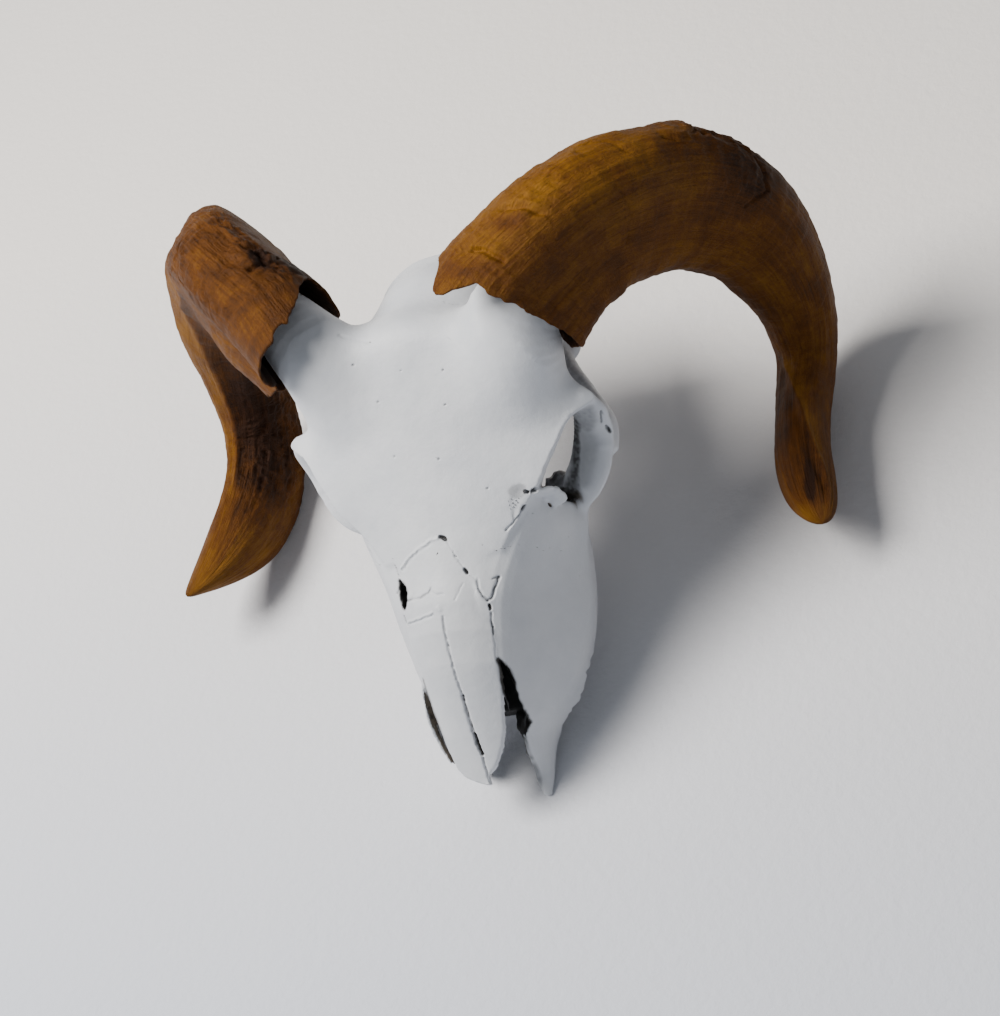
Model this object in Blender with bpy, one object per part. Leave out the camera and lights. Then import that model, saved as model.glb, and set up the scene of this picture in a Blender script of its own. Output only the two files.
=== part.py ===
# Skull of a mature ram without its lower jaw and premaxillae, with both horn sheaths.
#
# Skull frame, in millimetres: X to the animal's left, Y from the muzzle to the occiput, Z up from the
# chewing plane of the molars, with the origin where the tip of the muzzle would be.  At the end the skull
# is turned until it rests on the tip of its left maxilla and on the undersides of both horns, and the middle
# of its footprint becomes the origin.

import math

import bmesh
import bpy
import numpy as np
from mathutils import Matrix, Vector

# ---- driving dimensions ----
mm = 0.001
gap = 0.3                  # parting gap between bones, and between bone and horn
pitch_deg = 21.09          # nose-down pitch of the resting skull
roll_deg = 0.42            # its roll, since the right sheath hangs a little lower
seat = (10.16, -141.83, -25.93)  # shift that brings the turned skull onto the floor, over the origin

voxel = 1.5                # grid that fuses the overlapping forms of the cranium
soften = 7                 # smoothing passes after fusing
skull_triangles = 2500     # triangle budget of the cranium before it is parted
sharp_angle = 38           # edges sharper than this stay crisp

bone_colour = (0.80, 0.82, 0.84, 1.0)
horn_colour = (0.30, 0.15, 0.05, 1.0)

# Height of the nasal ridge along the midline: y, z.
nasal_ridge = [(33, 45.5), (45, 54.5), (52, 60), (64.5, 69.2), (80, 80), (93, 86.8), (105, 90),
               (120, 91.5), (133, 91.8)]
nasal_fall = 6.5           # how far the nasal roof falls from the ridge to 19 mm out
nasal_thick = 3.6
# Outer border of each nasal bone: y, distance from the midline.
nasal_border_left = [(37, 1.5), (39, 4.2), (42, 6.6), (47.5, 10.2), (53.5, 12.9), (69, 16.8), (80, 17.9),
                     (91, 19.3), (103, 19.3), (109, 16.5), (117.5, 11.7), (125.5, 6.6), (132, 2.5)]
nasal_border_right = [(32.4, 2.6), (34, 7), (36.5, 12), (40, 14.8), (50, 16.9), (62, 18.4), (76, 18.4),
                      (89, 20), (100, 21.3), (111, 22.3), (120, 21), (126.5, 15.5), (131.5, 7), (132.6, 3)]

# Half sections of the face, muzzle to orbit: y, ridge height, then x and z of the roof edge, the upper
# wall, the lower wall, the facial crest, the surface under it, the tooth margin, and the palate's side.
face_rows = [
    (29, 20.0, 12.0, 20.3, 14.0, 20.5, 15.5, 20.0, 17.0, 18.6, 17.0, 16.8, 15.6, 15.2, 11.5, 15.6, 16.0),
    (38, 22.5, 13.0, 23.0, 15.0, 23.0, 16.6, 22.0, 18.2, 20.2, 18.6, 17.4, 16.6, 15.0, 11.5, 15.2, 15.5),
    (46, 33.0, 14.0, 33.0, 16.2, 31.0, 17.8, 28.0, 19.4, 24.0, 20.0, 19.5, 18.0, 14.8, 11.8, 15.0, 15.5),
    (54, 43.5, 15.2, 43.6, 17.4, 40.5, 19.2, 36.0, 21.4, 29.0, 22.0, 21.0, 20.0, 14.0, 12.5, 14.6, 15.0),
    (60, 57.0, 15.8, 56.0, 19.0, 51.0, 21.4, 44.0, 24.0, 34.0, 25.0, 23.0, 22.6, 12.8, 13.5, 13.8, 15.0),
    (66, 66.0, 16.0, 61.5, 20.4, 56.0, 24.0, 47.0, 27.2, 36.0, 29.2, 24.0, 27.5, 12.0, 15.0, 13.0, 15.0),
    (73, 74.5, 16.4, 68.5, 22.0, 61.0, 26.5, 50.0, 31.0, 37.5, 33.4, 25.0, 32.0, 11.0, 17.5, 12.0, 15.5),
    (82, 81.0, 17.2, 75.0, 24.0, 66.0, 30.0, 52.0, 35.0, 38.0, 37.4, 27.0, 34.8, 10.2, 19.5, 11.5, 16.5),
    (93, 86.5, 18.4, 80.0, 26.4, 70.0, 33.6, 54.0, 39.2, 38.0, 41.2, 28.0, 36.6, 9.8, 21.5, 11.5, 18.0),
    (104, 89.5, 20.0, 83.6, 29.2, 73.0, 36.4, 56.0, 42.6, 38.0, 44.4, 28.5, 38.0, 9.4, 22.5, 11.5, 19.0),
    (114, 91.0, 22.4, 85.0, 32.0, 74.5, 38.6, 58.0, 44.2, 40.0, 46.0, 29.5, 38.4, 9.2, 23.0, 11.5, 19.5),
    (125, 92.0, 27.0, 85.5, 36.0, 76.0, 41.6, 61.0, 45.6, 44.0, 46.6, 32.0, 38.4, 9.2, 23.0, 12.0, 20.0),
    (135, 93.5, 32.0, 86.0, 40.0, 77.0, 45.0, 64.0, 47.6, 50.0, 47.6, 36.0, 37.6, 10.0, 22.5, 13.0, 20.5),
    (143, 96.0, 36.0, 86.5, 43.0, 78.0, 47.0, 66.0, 49.6, 54.0, 48.8, 41.0, 35.0, 13.0, 21.0, 15.0, 21.5),
    (150, 98.0, 39.0, 86.5, 44.0, 78.5, 47.5, 67.0, 49.4, 56.0, 46.0, 44.0, 30.0, 22.0, 19.0, 19.0, 24.0),
]

# The vault from nasion to nuchal crest: y, ridge height, x and z of its edge, thickness of its edge.
vault_rows = [
    (126, 92.0, 27, 86.0, 12), (140, 94.8, 38, 88.5, 10), (149, 97.8, 46.5, 91.0, 7.5),
    (157, 100.8, 51.5, 92.5, 6.5), (165, 103.8, 57.5, 93.0, 6.0), (174, 107.4, 66, 91.5, 6.0),
    (181, 110.4, 72.5, 88.5, 6.0), (187, 112.8, 72.5, 89.0, 6.5), (193, 115.2, 65, 92.5, 7.5),
    (200, 118.2, 59, 97.0, 8), (208, 121.0, 56, 102.0, 9), (217, 122.6, 52, 104.0, 10),
    (226, 116.5, 38, 94.0, 9), (235, 105.5, 28, 83.0, 9), (245, 95.5, 28, 76.5, 9),
    (254, 87.5, 27, 71.0, 9), (261, 81.0, 26, 68.0, 8),
]

# The right edge of the frontal is hollowed in front of its horn core: y, how much narrower than the left.
right_hollow = [(180, 0), (186, 2), (191, 8), (197, 6), (204, 0)]

# The bony core behind the face that carries the inner walls of the orbits: y, top, half width at the
# top, height and half width at the middle, height and half width low down, bottom.
core_rows = [
    (138, 93, 34, 66, 27, 42, 18, 30), (152, 98, 33, 66, 21, 44, 15, 31),
    (166, 103, 31, 68, 18.5, 46, 13, 33), (180, 108, 31, 70, 18.5, 48, 12.5, 35),
    (194, 113, 36, 74, 23, 50, 14, 35), (208, 116, 42, 76, 33, 50, 22, 34),
    (222, 112, 38, 76, 35, 48, 28, 32), (238, 99, 29, 70, 35, 48, 30, 31), (252, 87, 28, 65, 35, 46, 29, 32),
    (263, 78, 25, 58, 28, 44, 24, 34),
]

# Rim of the orbit, from the facial crest below it round to the frontal behind it, and the width and half
# thickness of the bony shelf that slopes from it towards a point deep in the orbit.
rim_path = [(44, 124, 37), (49.5, 139, 43), (53, 147.5, 48.5), (60, 151, 54.5), (67, 158, 59.5),
            (71, 167, 63.5), (73.5, 175, 68.5), (74.5, 180, 75), (74, 184, 82), (69, 187, 90)]
shelf_width = [8, 11, 15, 18, 19, 19, 18, 16, 14, 12]
shelf_thick = [3.2, 3.2, 3.0, 2.8, 2.8, 2.8, 2.8, 2.8, 3.0, 3.6]
orbit_depth_point = (30, 173, 62)
# Zygomatic arch behind the orbit: centre line, half height and half thickness.
arch_path = [(68, 170, 60), (68.5, 180, 60.5), (64.5, 189, 61.5), (57.5, 199.5, 61.5), (51.5, 208.5, 60),
             (44.5, 218.5, 57.5), (34, 227, 56)]
arch_height = [6, 6, 5.5, 5.2, 5.5, 6.5, 8]
arch_thick = [3.5, 3.6, 3.6, 3.8, 4.0, 5, 6.5]

# Horn centre line from the base to the tip, its half widths and its twist.
horn_path = [(48.9, 222.6, 115.9), (76.3, 252.8, 105.2), (106.5, 273.3, 67.7), (129.5, 265.2, 22.2),
             (134.9, 231.0, -23.0), (132.1, 181.4, -16.6), (146.8, 135.6, 14.1)]
horn_tall = [36.1, 36.1, 34.1, 25.1, 14.7, 12.4, 14.5]
horn_wide = [32.8, 29.2, 23.9, 18.9, 22.7, 21.5, 5.4]
horn_twist_deg = [-17, -3, 2, 3, 7, 9, 9]
# The right sheath has worked loose: it is turned about a point inside its base, and slid outward.
loose_pivot = (-72, 248, 108)
loose_turn_deg = (-2.9, 0.2, -4.3)
loose_slide = (-16.6, 4.3, -5.9)
# Ragged rim of each sheath: angle round the horn from its crest, and how far the rim lies along the horn.
rim_left = [(0, -14), (12, -12), (22, -7), (45, -5), (60, -1.5), (90, 0), (130, 3), (180, 5), (240, 4),
            (280, 0), (330, -4), (345, -10), (360, -14)]
rim_right = [(0, -24), (20, -27), (40, -28), (60, -28), (80, -25), (100, -20), (120, -15), (150, -6), (180, 0),
             (270, 0), (300, 6), (315, 0), (325, -10), (340, -20), (360, -24)]
rim_fade = 38              # distance along the horn over which the rings even out
rim_step = 3               # the rim's unevenness
# Where each sheath stands out from or in from plain ovals: angle, distance along the horn, amount, spread in
# degrees, spread along.  Both have a flat front face.  The mouth of the right one has shrunk.
swells_left = [(72, 20, -8, 38, 75), (122, 40, 1.5, 16, 90)]
swells_right = [(72, 20, -13, 38, 70), (112, -20, -17, 65, 45), (285, 45, -4, 34, 30), (2, 95, -5, 28, 35),
                (312, 98, 6.5, 22, 30), (75, 150, 4, 35, 30)]
# Bony core of each horn: centre line and half widths, from inside the frontal to its blunt end.
core_path = [(34, 198, 93), (42, 208, 104.5), (49, 220.5, 111.5), (63.5, 238.5, 110), (79, 255, 102)]
core_tall = [23, 21.5, 19.5, 16, 8]
core_wide = [27, 25, 19.5, 15, 8]
core_right_path = [(34, 199, 93), (40.5, 209, 104), (50, 220.5, 111), (65, 237.5, 110), (80, 253.5, 102)]
core_right_tall = [23, 21.5, 19.5, 16, 8]
core_right_wide = [25, 22.5, 18, 14, 8]
horn_length = 315          # along its centre line
horn_tip_taper = 0.86      # share of the length where the point begins
sheath_wall = 3.4          # thickness of the horn sheath near its base
sheath_depth = 0.50        # share of the length that is hollow

right_tip_broken = 40      # the right maxilla ends here: its thin tip is broken off
molar_rows = [(95, 8.0, 26.8), (112, 9.0, 27.5), (131, 10.5, 27.0)]  # molars: y, half length, x
molar_half_width = 6.2
molar_root_height = 17
molar_cusps = [(-0.95, 1.2), (-0.55, 0.0), (0, 1.8), (0.5, 0.0), (0.95, 1.2)]  # share of half length, drop
molar_inner_drop = 0.8     # the inner cusps stand a little higher than the outer ones
socket_rows = [(66, 23.0), (74.5, 26.5), (83, 28.5)]                # sockets of the lost premolars: y, x
socket_centre_height = 10
socket_radii = (4.2, 3.4, 9)
socket_outset = 2.5        # the sockets lie this far outside the tooth line, so their outer walls are broken

# Single forms of the cranium: centre, half sizes.
brain_ball = ((0, 230, 70), (34, 32, 35))
occiput_ball = ((0, 252, 52), (29, 15, 27))
# Paired hollows.
orbit_ball = ((62, 172, 66), (39, 24.5, 20.5))
temporal_ball = ((62, 212, 67), (36, 25, 27))
# Paired rounded forms: centre, half sizes, pitch in degrees.
knobs = {
    "ear region": ((29, 241, 48), (12, 15, 17), 0),
    "condyle": ((14, 271, 34), (9, 9.5, 12), -25),
    "bulla": ((22, 238, 25), (8, 12, 10), 0),
    "jaw joint": ((46, 221, 53), (14, 9, 5.5), 0),
    "tuber": ((31, 143, 27), (11, 10, 14), 0),
}
# Paired rods: centre line, half width along the first axis, half width across it, first axis.
rods = {
    "nuchal crest": ([(0, 261, 79.5), (16, 260, 75), (30, 254, 68), (36, 246, 54)], [3.4, 3.4, 3.4, 4],
                     [3.2, 3.2, 3.2, 4], (0, 1, 0)),
    "jugular process": ([(27, 256, 42), (30, 261, 28), (31, 265, 15), (30, 268, 6)], [8, 7, 5, 3],
                        [4.5, 3.4, 2.8, 2.2], (0, 1, 0)),
    "ear tube": ([(24, 240, 36), (33, 241, 41), (41, 243, 46)], [7, 6, 5.5], [7, 6, 5.5], (0, 1, 0)),
    "pterygoid": ([(15, 142, 28), (13.5, 158, 29), (12, 174, 31), (11, 192, 36)], [15, 15, 14, 9],
                  [3, 2.2, 2.0, 2.6], (0, 0, 1)),
    "hamulus": ([(12, 176, 22), (12.5, 183, 15), (13, 188, 11)], [3.4, 2.6, 1.8], [2.2, 2.0, 1.6], (1, 0, 0)),
    "arch": (arch_path, arch_height, arch_thick, (0, 0, 1)),
    "horn core": (core_path, core_tall, core_wide, (0, 0, 1)),
}
# The skull base under the brain: centre line, half height, half width.
base_path = [(0, 272, 27), (0, 250, 29), (0, 225, 33), (0, 200, 38)]
base_tall = [4.5, 4.5, 5, 5]
base_wide = [14, 12, 10, 9]

# Space inside the muzzle: y, half width low down, in the middle and high up, top.
nose_rows = [(20, 9.5, 11.0, 11.5, 40), (40, 10.8, 12.2, 12.5, 60), (54, 12.0, 15.4, 12.6, 90),
             (66, 13.0, 19.0, 13.0, 110), (80, 14.0, 22.0, 14.0, 110), (96, 14.5, 24.0, 14.5, 110),
             (112, 13.5, 22.0, 14.0, 108), (121, 9.0, 13.0, 9.0, 104)]
palate_front = 53          # the palate starts here; in front of it the maxillae stand apart
palate_half_gap = 10.5
choana_ball = ((0, 163, 22), (9.5, 25, 13))
spinal_hole_ball = ((0, 272, 44), (9, 16, 8.5))
# Paired nerve and tear holes: centre line, half heights, half widths.
holes = {
    "infraorbital hole": ([(42, 80, 28.5), (34, 88, 29), (30, 96, 30)], [3, 3, 2], [2.2, 2.2, 1.6]),
    "tear hole": ([(52, 152, 74), (42, 146, 72), (36, 140, 70)], [3, 2.6, 2], [3, 2.6, 2]),
}

# Where the bones part: side outlines (y, z) of the region that each takes from the cranium.
far = 300
occipital_outline = [(251, 62), (257, 74), (262, 120), (far, 120), (far, -20), (234, -20), (234, 33), (248, 42)]
zygomatic_outline = [(119, 0), (119, 48), (138, 49.5), (150, 60), (160, 80), (202, 80), (202, 0)]
zygomatic_inside = 43.5
temple_outline = [(202, -20), (204, 60), (206, 76), (230, 80), (far, 80), (far, -20)]
brain_outline = [(202, -20), (206, 72), (216, 90), (226, 106), (far, 112), (far, -20)]
brain_half_width = 42
temple_inside = 50
frontal_outline = [(126, 84), (128, 80), (150, 82), (170, 74), (196, 72), (far, 60), (far, 260), (126, 260)]
sphenoid_outline = [(150, 5), (150, 130), (230, 130), (230, 5)]
lacrimal_outline = [(128, 57), (126, 90), (165, 90), (165, 55)]
lacrimal_inside = 27
outside = 150              # beyond every bone


# ---- curves ----
def spline(knots, count):
    """Natural cubic spline through evenly spaced knots, read at count places."""
    k = np.array(knots, float)
    k = k.reshape(len(k), -1)
    n = len(k)
    a = np.eye(n)
    b = np.zeros_like(k)
    for i in range(1, n - 1):
        a[i, i - 1:i + 2] = (1, 4, 1)
        b[i] = 6 * (k[i - 1] - 2 * k[i] + k[i + 1])
    m = np.linalg.solve(a, b)
    s = np.linspace(0, n - 1, count)
    i = np.minimum(s.astype(int), n - 2)
    f = (s - i)[:, None]
    g = 1 - f
    return g * k[i] + f * k[i + 1] + ((g ** 3 - g) * m[i] + (f ** 3 - f) * m[i + 1]) / 6


def rows_at(rows, step):
    """Rows of a table resampled along their first column, at most step apart."""
    rows = np.array(rows, float)
    count = int(math.ceil((rows[-1, 0] - rows[0, 0]) / step)) + 1
    fine = spline(rows, 12 * len(rows))
    y = np.linspace(rows[0, 0], rows[-1, 0], count)
    return np.column_stack([y] + [np.interp(y, fine[:, 0], fine[:, i]) for i in range(1, rows.shape[1])])


def rounded(points, steps):
    """Closed smooth ring through the points (Catmull-Rom)."""
    p = np.array(points, float)
    ring = []
    for i in range(len(p)):
        a, b, c, d = p[i - 1], p[i], p[(i + 1) % len(p)], p[(i + 2) % len(p)]
        for s in range(steps):
            t = s / steps
            ring.append(0.5 * (2 * b + (c - a) * t + (2 * a - 5 * b + 4 * c - d) * t * t
                               + (3 * b - a - 3 * c + d) * t ** 3))
    return np.array(ring)


def frames(path, first):
    """Directions along a path, and two axes across it that don't twist."""
    t = np.gradient(path, axis=0)
    t /= np.linalg.norm(t, axis=1)[:, None]
    u = np.zeros_like(path)
    last = np.array(first, float)
    for i in range(len(path)):
        last = last - t[i] * (last @ t[i])
        last /= np.linalg.norm(last)
        u[i] = last
    return t, u, np.cross(t, u)


def tube_rings(path, half_u, half_w, first, count, sides, twist_deg=None, taper=None):
    """Elliptic rings along a smooth path."""
    centre = spline(path, count)
    a = spline(half_u, count)[:, 0]
    b = spline(half_w, count)[:, 0]
    turn = np.radians(spline(twist_deg, count)[:, 0]) if twist_deg else np.zeros(count)
    if taper:
        s = np.linspace(0, 1, count)
        end = np.sqrt(np.clip(1 - np.clip((s - taper) / (1 - taper), 0, 0.995) ** 2, 0, 1))
        a = a * end
        b = b * end
    t, u, w = frames(centre, first)
    p = np.cos(turn)[:, None] * u + np.sin(turn)[:, None] * w
    q = np.cos(turn)[:, None] * w - np.sin(turn)[:, None] * u
    th = np.linspace(0, 2 * np.pi, sides, endpoint=False)
    return (centre[:, None] + (a[:, None] * np.cos(th))[..., None] * p[:, None]
            + (b[:, None] * np.sin(th))[..., None] * q[:, None])


def ribbon_rings(rim, width, half_thick, apex, count, sides):
    """Flat rings along a rim, each reaching from the rim towards the apex."""
    edge = spline(rim, count)
    wide = spline(width, count)
    thick = spline(half_thick, count)
    t = np.gradient(edge, axis=0)
    t /= np.linalg.norm(t, axis=1)[:, None]
    u = edge - np.array(apex, float)
    u -= t * np.sum(u * t, axis=1)[:, None]
    u /= np.linalg.norm(u, axis=1)[:, None]
    w = np.cross(t, u)
    centre = edge - u * wide / 2
    th = np.linspace(0, 2 * np.pi, sides, endpoint=False)
    return (centre[:, None] + (wide / 2 * np.cos(th))[..., None] * u[:, None]
            + (thick * np.sin(th))[..., None] * w[:, None])


# ---- meshes ----
def make_object(name, bm):
    bmesh.ops.recalc_face_normals(bm, faces=bm.faces)
    mesh = bpy.data.meshes.new(name)
    bm.to_mesh(mesh)
    bm.free()
    obj = bpy.data.objects.new(name, mesh)
    bpy.context.scene.collection.objects.link(obj)
    return obj


def add_skin(bm, rings, side=1):
    """Closed skin over a stack of rings, mirrored where side is -1."""
    loops = [[bm.verts.new((side * p[0], p[1], p[2])) for p in ring] for ring in rings]
    for low, high in zip(loops, loops[1:]):
        for i in range(len(low)):
            j = (i + 1) % len(low)
            bm.faces.new((low[i], low[j], high[j], high[i]))
    bm.faces.new(loops[0][::-1])
    bm.faces.new(loops[-1])


def skin(name, rings, side=1):
    bm = bmesh.new()
    add_skin(bm, rings, side)
    return make_object(name, bm)


def ball(name, centre, radii, side=1, tilt_deg=0, detail=3):
    """Ellipsoid, pitched about X."""
    bm = bmesh.new()
    place = (Matrix.Translation((side * centre[0], centre[1], centre[2]))
             @ Matrix.Rotation(math.radians(tilt_deg), 4, "X") @ Matrix.Diagonal((*radii, 1)))
    bmesh.ops.create_icosphere(bm, subdivisions=detail, radius=1, matrix=place)
    return make_object(name, bm)


def block(name, sections):
    """Prism whose (y, z) outline changes between the x places of its sections."""
    return skin(name, [[(x, y, z) for y, z in outline] for x, outline in sections])


def split_faces(obj):
    bm = bmesh.new()
    bm.from_mesh(obj.data)
    bmesh.ops.triangulate(bm, faces=bm.faces)
    bm.to_mesh(obj.data)
    bm.free()


def swell(obj, amount):
    """Move every face of a triangulated prism out by amount."""
    bm = bmesh.new()
    bm.from_mesh(obj.data)
    bm.normal_update()
    for v in bm.verts:
        v.co += v.normal * (amount * v.calc_shell_factor())
    bm.to_mesh(obj.data)
    bm.free()
    return obj


def apply_modifiers(obj):
    view = bpy.context.evaluated_depsgraph_get()
    mesh = bpy.data.meshes.new_from_object(obj.evaluated_get(view))
    obj.modifiers.clear()
    old = obj.data
    obj.data = mesh
    bpy.data.meshes.remove(old)


def discard(obj):
    mesh = obj.data
    bpy.data.objects.remove(obj)
    bpy.data.meshes.remove(mesh)


def combine(name, objects):
    """One object that holds the meshes of several, which are removed."""
    bm = bmesh.new()
    for obj in objects:
        bm.from_mesh(obj.data)
        discard(obj)
    return make_object(name, bm)


def fuse(name, objects, size=voxel, passes=soften):
    """Overlapping closed forms turned into one smooth closed skin."""
    obj = combine(name, objects)
    remesh = obj.modifiers.new("fuse", "REMESH")
    remesh.mode = "VOXEL"
    remesh.voxel_size = size
    smooth = obj.modifiers.new("soften", "SMOOTH")
    smooth.factor = 0.5
    smooth.iterations = passes
    apply_modifiers(obj)
    return obj


def boolean(obj, tool, operation="DIFFERENCE", keep_tool=False):
    step = obj.modifiers.new(operation.lower(), "BOOLEAN")
    step.operation = operation
    step.solver = "EXACT"
    step.object = tool
    apply_modifiers(obj)
    if not keep_tool:
        discard(tool)


def thin_out(obj, triangles):
    split_faces(obj)
    step = obj.modifiers.new("thin out", "DECIMATE")
    step.ratio = min(1.0, triangles / len(obj.data.polygons))
    apply_modifiers(obj)


def copy_of(obj, name):
    twin = bpy.data.objects.new(name, obj.data.copy())
    bpy.context.scene.collection.objects.link(twin)
    return twin


def largest_body(obj):
    """Drop every loose piece but the largest, and close up the slits that cutting leaves."""
    bm = bmesh.new()
    bm.from_mesh(obj.data)
    bmesh.ops.remove_doubles(bm, verts=bm.verts, dist=0.005)
    left = set(bm.verts)
    bodies = []
    while left:
        front = [left.pop()]
        body = set(front)
        while front:
            for edge in front.pop().link_edges:
                for v in edge.verts:
                    if v in left:
                        left.discard(v)
                        body.add(v)
                        front.append(v)
        bodies.append(body)
    bodies.sort(key=len)
    for body in bodies[:-1]:
        bmesh.ops.delete(bm, geom=list(body), context="VERTS")
    bmesh.ops.holes_fill(bm, edges=[edge for edge in bm.edges if edge.is_boundary], sides=0)
    bmesh.ops.triangulate(bm, faces=bm.faces)
    bm.to_mesh(obj.data)
    bm.free()


# ---- the cranium ----
def face_rings():
    rings = []
    for row in rows_at(face_rows, 4):
        y, ridge = row[0], row[1]
        half = [(row[i], row[i + 1]) for i in range(2, 16, 2)]
        left = [(x, z) for x, z in half]
        right = [(-x, z) for x, z in reversed(half)]
        ring = rounded([(0, ridge)] + left + [(0, row[16])] + right, 3)
        rings.append([(x, y, z) for x, z in ring])
    return rings


def vault_rings():
    rings = []
    for y, ridge, edge_x, edge_z, thick in rows_at(vault_rows, 4):
        hollow = np.interp(y, [row[0] for row in right_hollow], [row[1] for row in right_hollow])
        reach = {1: edge_x, -1: edge_x - hollow}
        top = []
        for s in np.linspace(-1, 1, 21):
            top.append((s * reach[1 if s > 0 else -1], y, ridge - (ridge - edge_z) * abs(s) ** 2.1))
        low = [(s * reach[1 if s > 0 else -1] * 0.96, y, edge_z - thick + (ridge - edge_z) * 0.25 * (1 - s * s))
               for s in np.linspace(1, -1, 11)]
        rings.append(top + low)
    return rings


def core_rings():
    rings = []
    for y, top, x_top, z_mid, x_mid, z_low, x_low, bottom in rows_at(core_rows, 5):
        half = [(x_top * 0.6, top - 2), (x_top, top - 12), (x_mid, z_mid), (x_low, z_low)]
        ring = rounded([(0, top)] + half + [(0, bottom)] + [(-x, z) for x, z in reversed(half)], 3)
        rings.append([(x, y, z) for x, z in ring])
    return rings


def base_cranium():
    """Face, vault and brain case as one form, with the orbits hollowed out."""
    forms = [skin("face", face_rings()), skin("vault", vault_rings()), skin("core", core_rings())]
    forms += [ball("brain case", *brain_ball), ball("occiput", *occiput_ball)]
    for side in (1, -1):
        centre, radii, pitch = knobs["ear region"]
        forms.append(ball("ear region", centre, radii, side, pitch))
    cranium = fuse("cranium", forms)
    for side in (1, -1):
        for hollow in (orbit_ball, temporal_ball):
            boolean(cranium, ball("hollow", *hollow, side))
    return cranium


def horn_surface(share, angle, inset):
    """Points of the horn's skin at shares of its length and angles round it, inset from the surface."""
    fine = 121
    centre = spline(horn_path, fine)
    along = np.linspace(0, 1, fine)
    end = np.sqrt(np.clip(1 - np.clip((along - horn_tip_taper) / (1 - horn_tip_taper), 0, 0.99) ** 2, 0, 1))
    tall = spline(horn_tall, fine)[:, 0] * end
    wide = spline(horn_wide, fine)[:, 0] * end
    turn = np.radians(spline(horn_twist_deg, fine)[:, 0])
    t, u, w = frames(centre, (0, 0, 1))
    k = np.clip(share, 0, 1)

    def read(values):
        columns = values.reshape(fine, -1).T
        return np.stack([np.interp(k, along, column) for column in columns], axis=-1)

    beyond = np.minimum(share, 0)[..., None] * horn_length
    c = read(centre) + beyond * t[0]
    a = np.maximum(read(tall) - inset, 0.6)
    b = np.maximum(read(wide) - inset, 0.6)
    u, w, turn = read(u), read(w), read(turn)
    p = np.cos(turn) * u + np.sin(turn) * w
    q = np.cos(turn) * w - np.sin(turn) * u
    return c + a * np.cos(angle)[..., None] * p + b * np.sin(angle)[..., None] * q


def cranium_additions(side):
    """What grows from one side of the base form."""
    rim = ribbon_rings(rim_path, shelf_width, shelf_thick, orbit_depth_point, 34, 14)
    parts = [skin("orbit rim", rim, side)]
    for name, (path, half_first, half_second, first) in rods.items():
        if name == "horn core" and side == -1:
            path, half_first, half_second = core_right_path, core_right_tall, core_right_wide
        parts.append(skin(name, tube_rings(path, half_first, half_second, first, 5 * len(path), 14), side))
    for name, (centre, radii, pitch) in knobs.items():
        parts.append(ball(name, centre, radii, side, pitch))
    return parts


def make_cranium():
    forms = [base_cranium()] + cranium_additions(1) + cranium_additions(-1)
    forms.append(skin("skull base", tube_rings(base_path, base_tall, base_wide, (0, 0, 1), 14, 14)))
    cranium = fuse("cranium", forms)
    thin_out(cranium, skull_triangles)
    return cranium


# ---- openings ----
def nose_cavity():
    """Space inside the muzzle, open in front and above between the edges of the maxillae."""
    rings = []
    for y, low, mid, high, top in nose_rows:
        floor = 8 if y < palate_front - 3 else 21
        half = [(high, top), (high, min(top, 68)), (mid, 46), (low + 1, 28), (low - 3, floor)]
        rings.append([(x, y, z) for x, z in half] + [(-x, y, z) for x, z in reversed(half)])
    return skin("nose cavity", rings)


def palate_notch():
    outline = [(20, 8), (palate_front, 8), (palate_front + 4, 22), (20, 30)]
    return block("palate notch", [(-palate_half_gap, outline), (palate_half_gap, outline)])


def open_cranium(cranium):
    for tool in (nose_cavity(), palate_notch(), ball("choanae", *choana_ball, 1, 0, 2),
                 ball("spinal hole", *spinal_hole_ball, 1, 0, 2)):
        boolean(cranium, tool)
    for side in (1, -1):
        for name, (path, half_tall, half_wide) in holes.items():
            boolean(cranium, skin(name, tube_rings(path, half_tall, half_wide, (0, 0, 1), 5, 8), side))
        for y, x in socket_rows:
            place = (x + socket_outset, y, socket_centre_height)
            boolean(cranium, ball("socket", place, socket_radii, side, 0, 2))


# ---- nasal bones ----
def nasal_rings(border, thick, spread=0.0, inner=gap / 2):
    """Rings of a nasal bone; spread grows it on every side for the bed that it lies in."""
    ridge = np.array(nasal_ridge, float)
    line = np.array(border, float)
    ys = np.linspace(line[0, 0] - spread, line[-1, 0] + spread, 13)
    rings = []
    for y in ys:
        z = np.interp(y, ridge[:, 0], ridge[:, 1])
        outer = np.interp(y, line[:, 0], line[:, 1]) + spread
        xs = np.linspace(inner - spread, outer, 5)
        top = [(x, y, z - nasal_fall * (x / 19) ** 2 + 4 * spread) for x in xs]
        low = [(x, y, z - nasal_fall * (x / 19) ** 2 - thick - spread) for x in xs[::-1]]
        rings.append(top + low)
    return rings


# ---- parting ----
def part_off(cranium, name, sections):
    """Cut the part of the cranium inside a prism off it, with a parting gap, and keep both."""
    piece = copy_of(cranium, name)
    region = block("region", sections)
    split_faces(region)
    boolean(piece, region, "INTERSECT", keep_tool=True)
    boolean(cranium, swell(region, gap))
    return piece


def add_molars(maxilla, side):
    """Molars joined to the maxilla, each with two cross ridges."""
    w = molar_half_width
    for y, half, x in molar_rows:
        rings = []
        for dx in (-w, -w * 0.2, w):
            drop = molar_inner_drop if dx < 0 else 0.0
            low = [(side * (x + dx), y + share * half, z + drop) for share, z in molar_cusps]
            high = [(side * (x + dx * 0.95), y + end * half * 0.9, molar_root_height) for end in (1, -1)]
            rings.append(low + high)
        boolean(maxilla, skin("molar", rings), "UNION")


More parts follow.
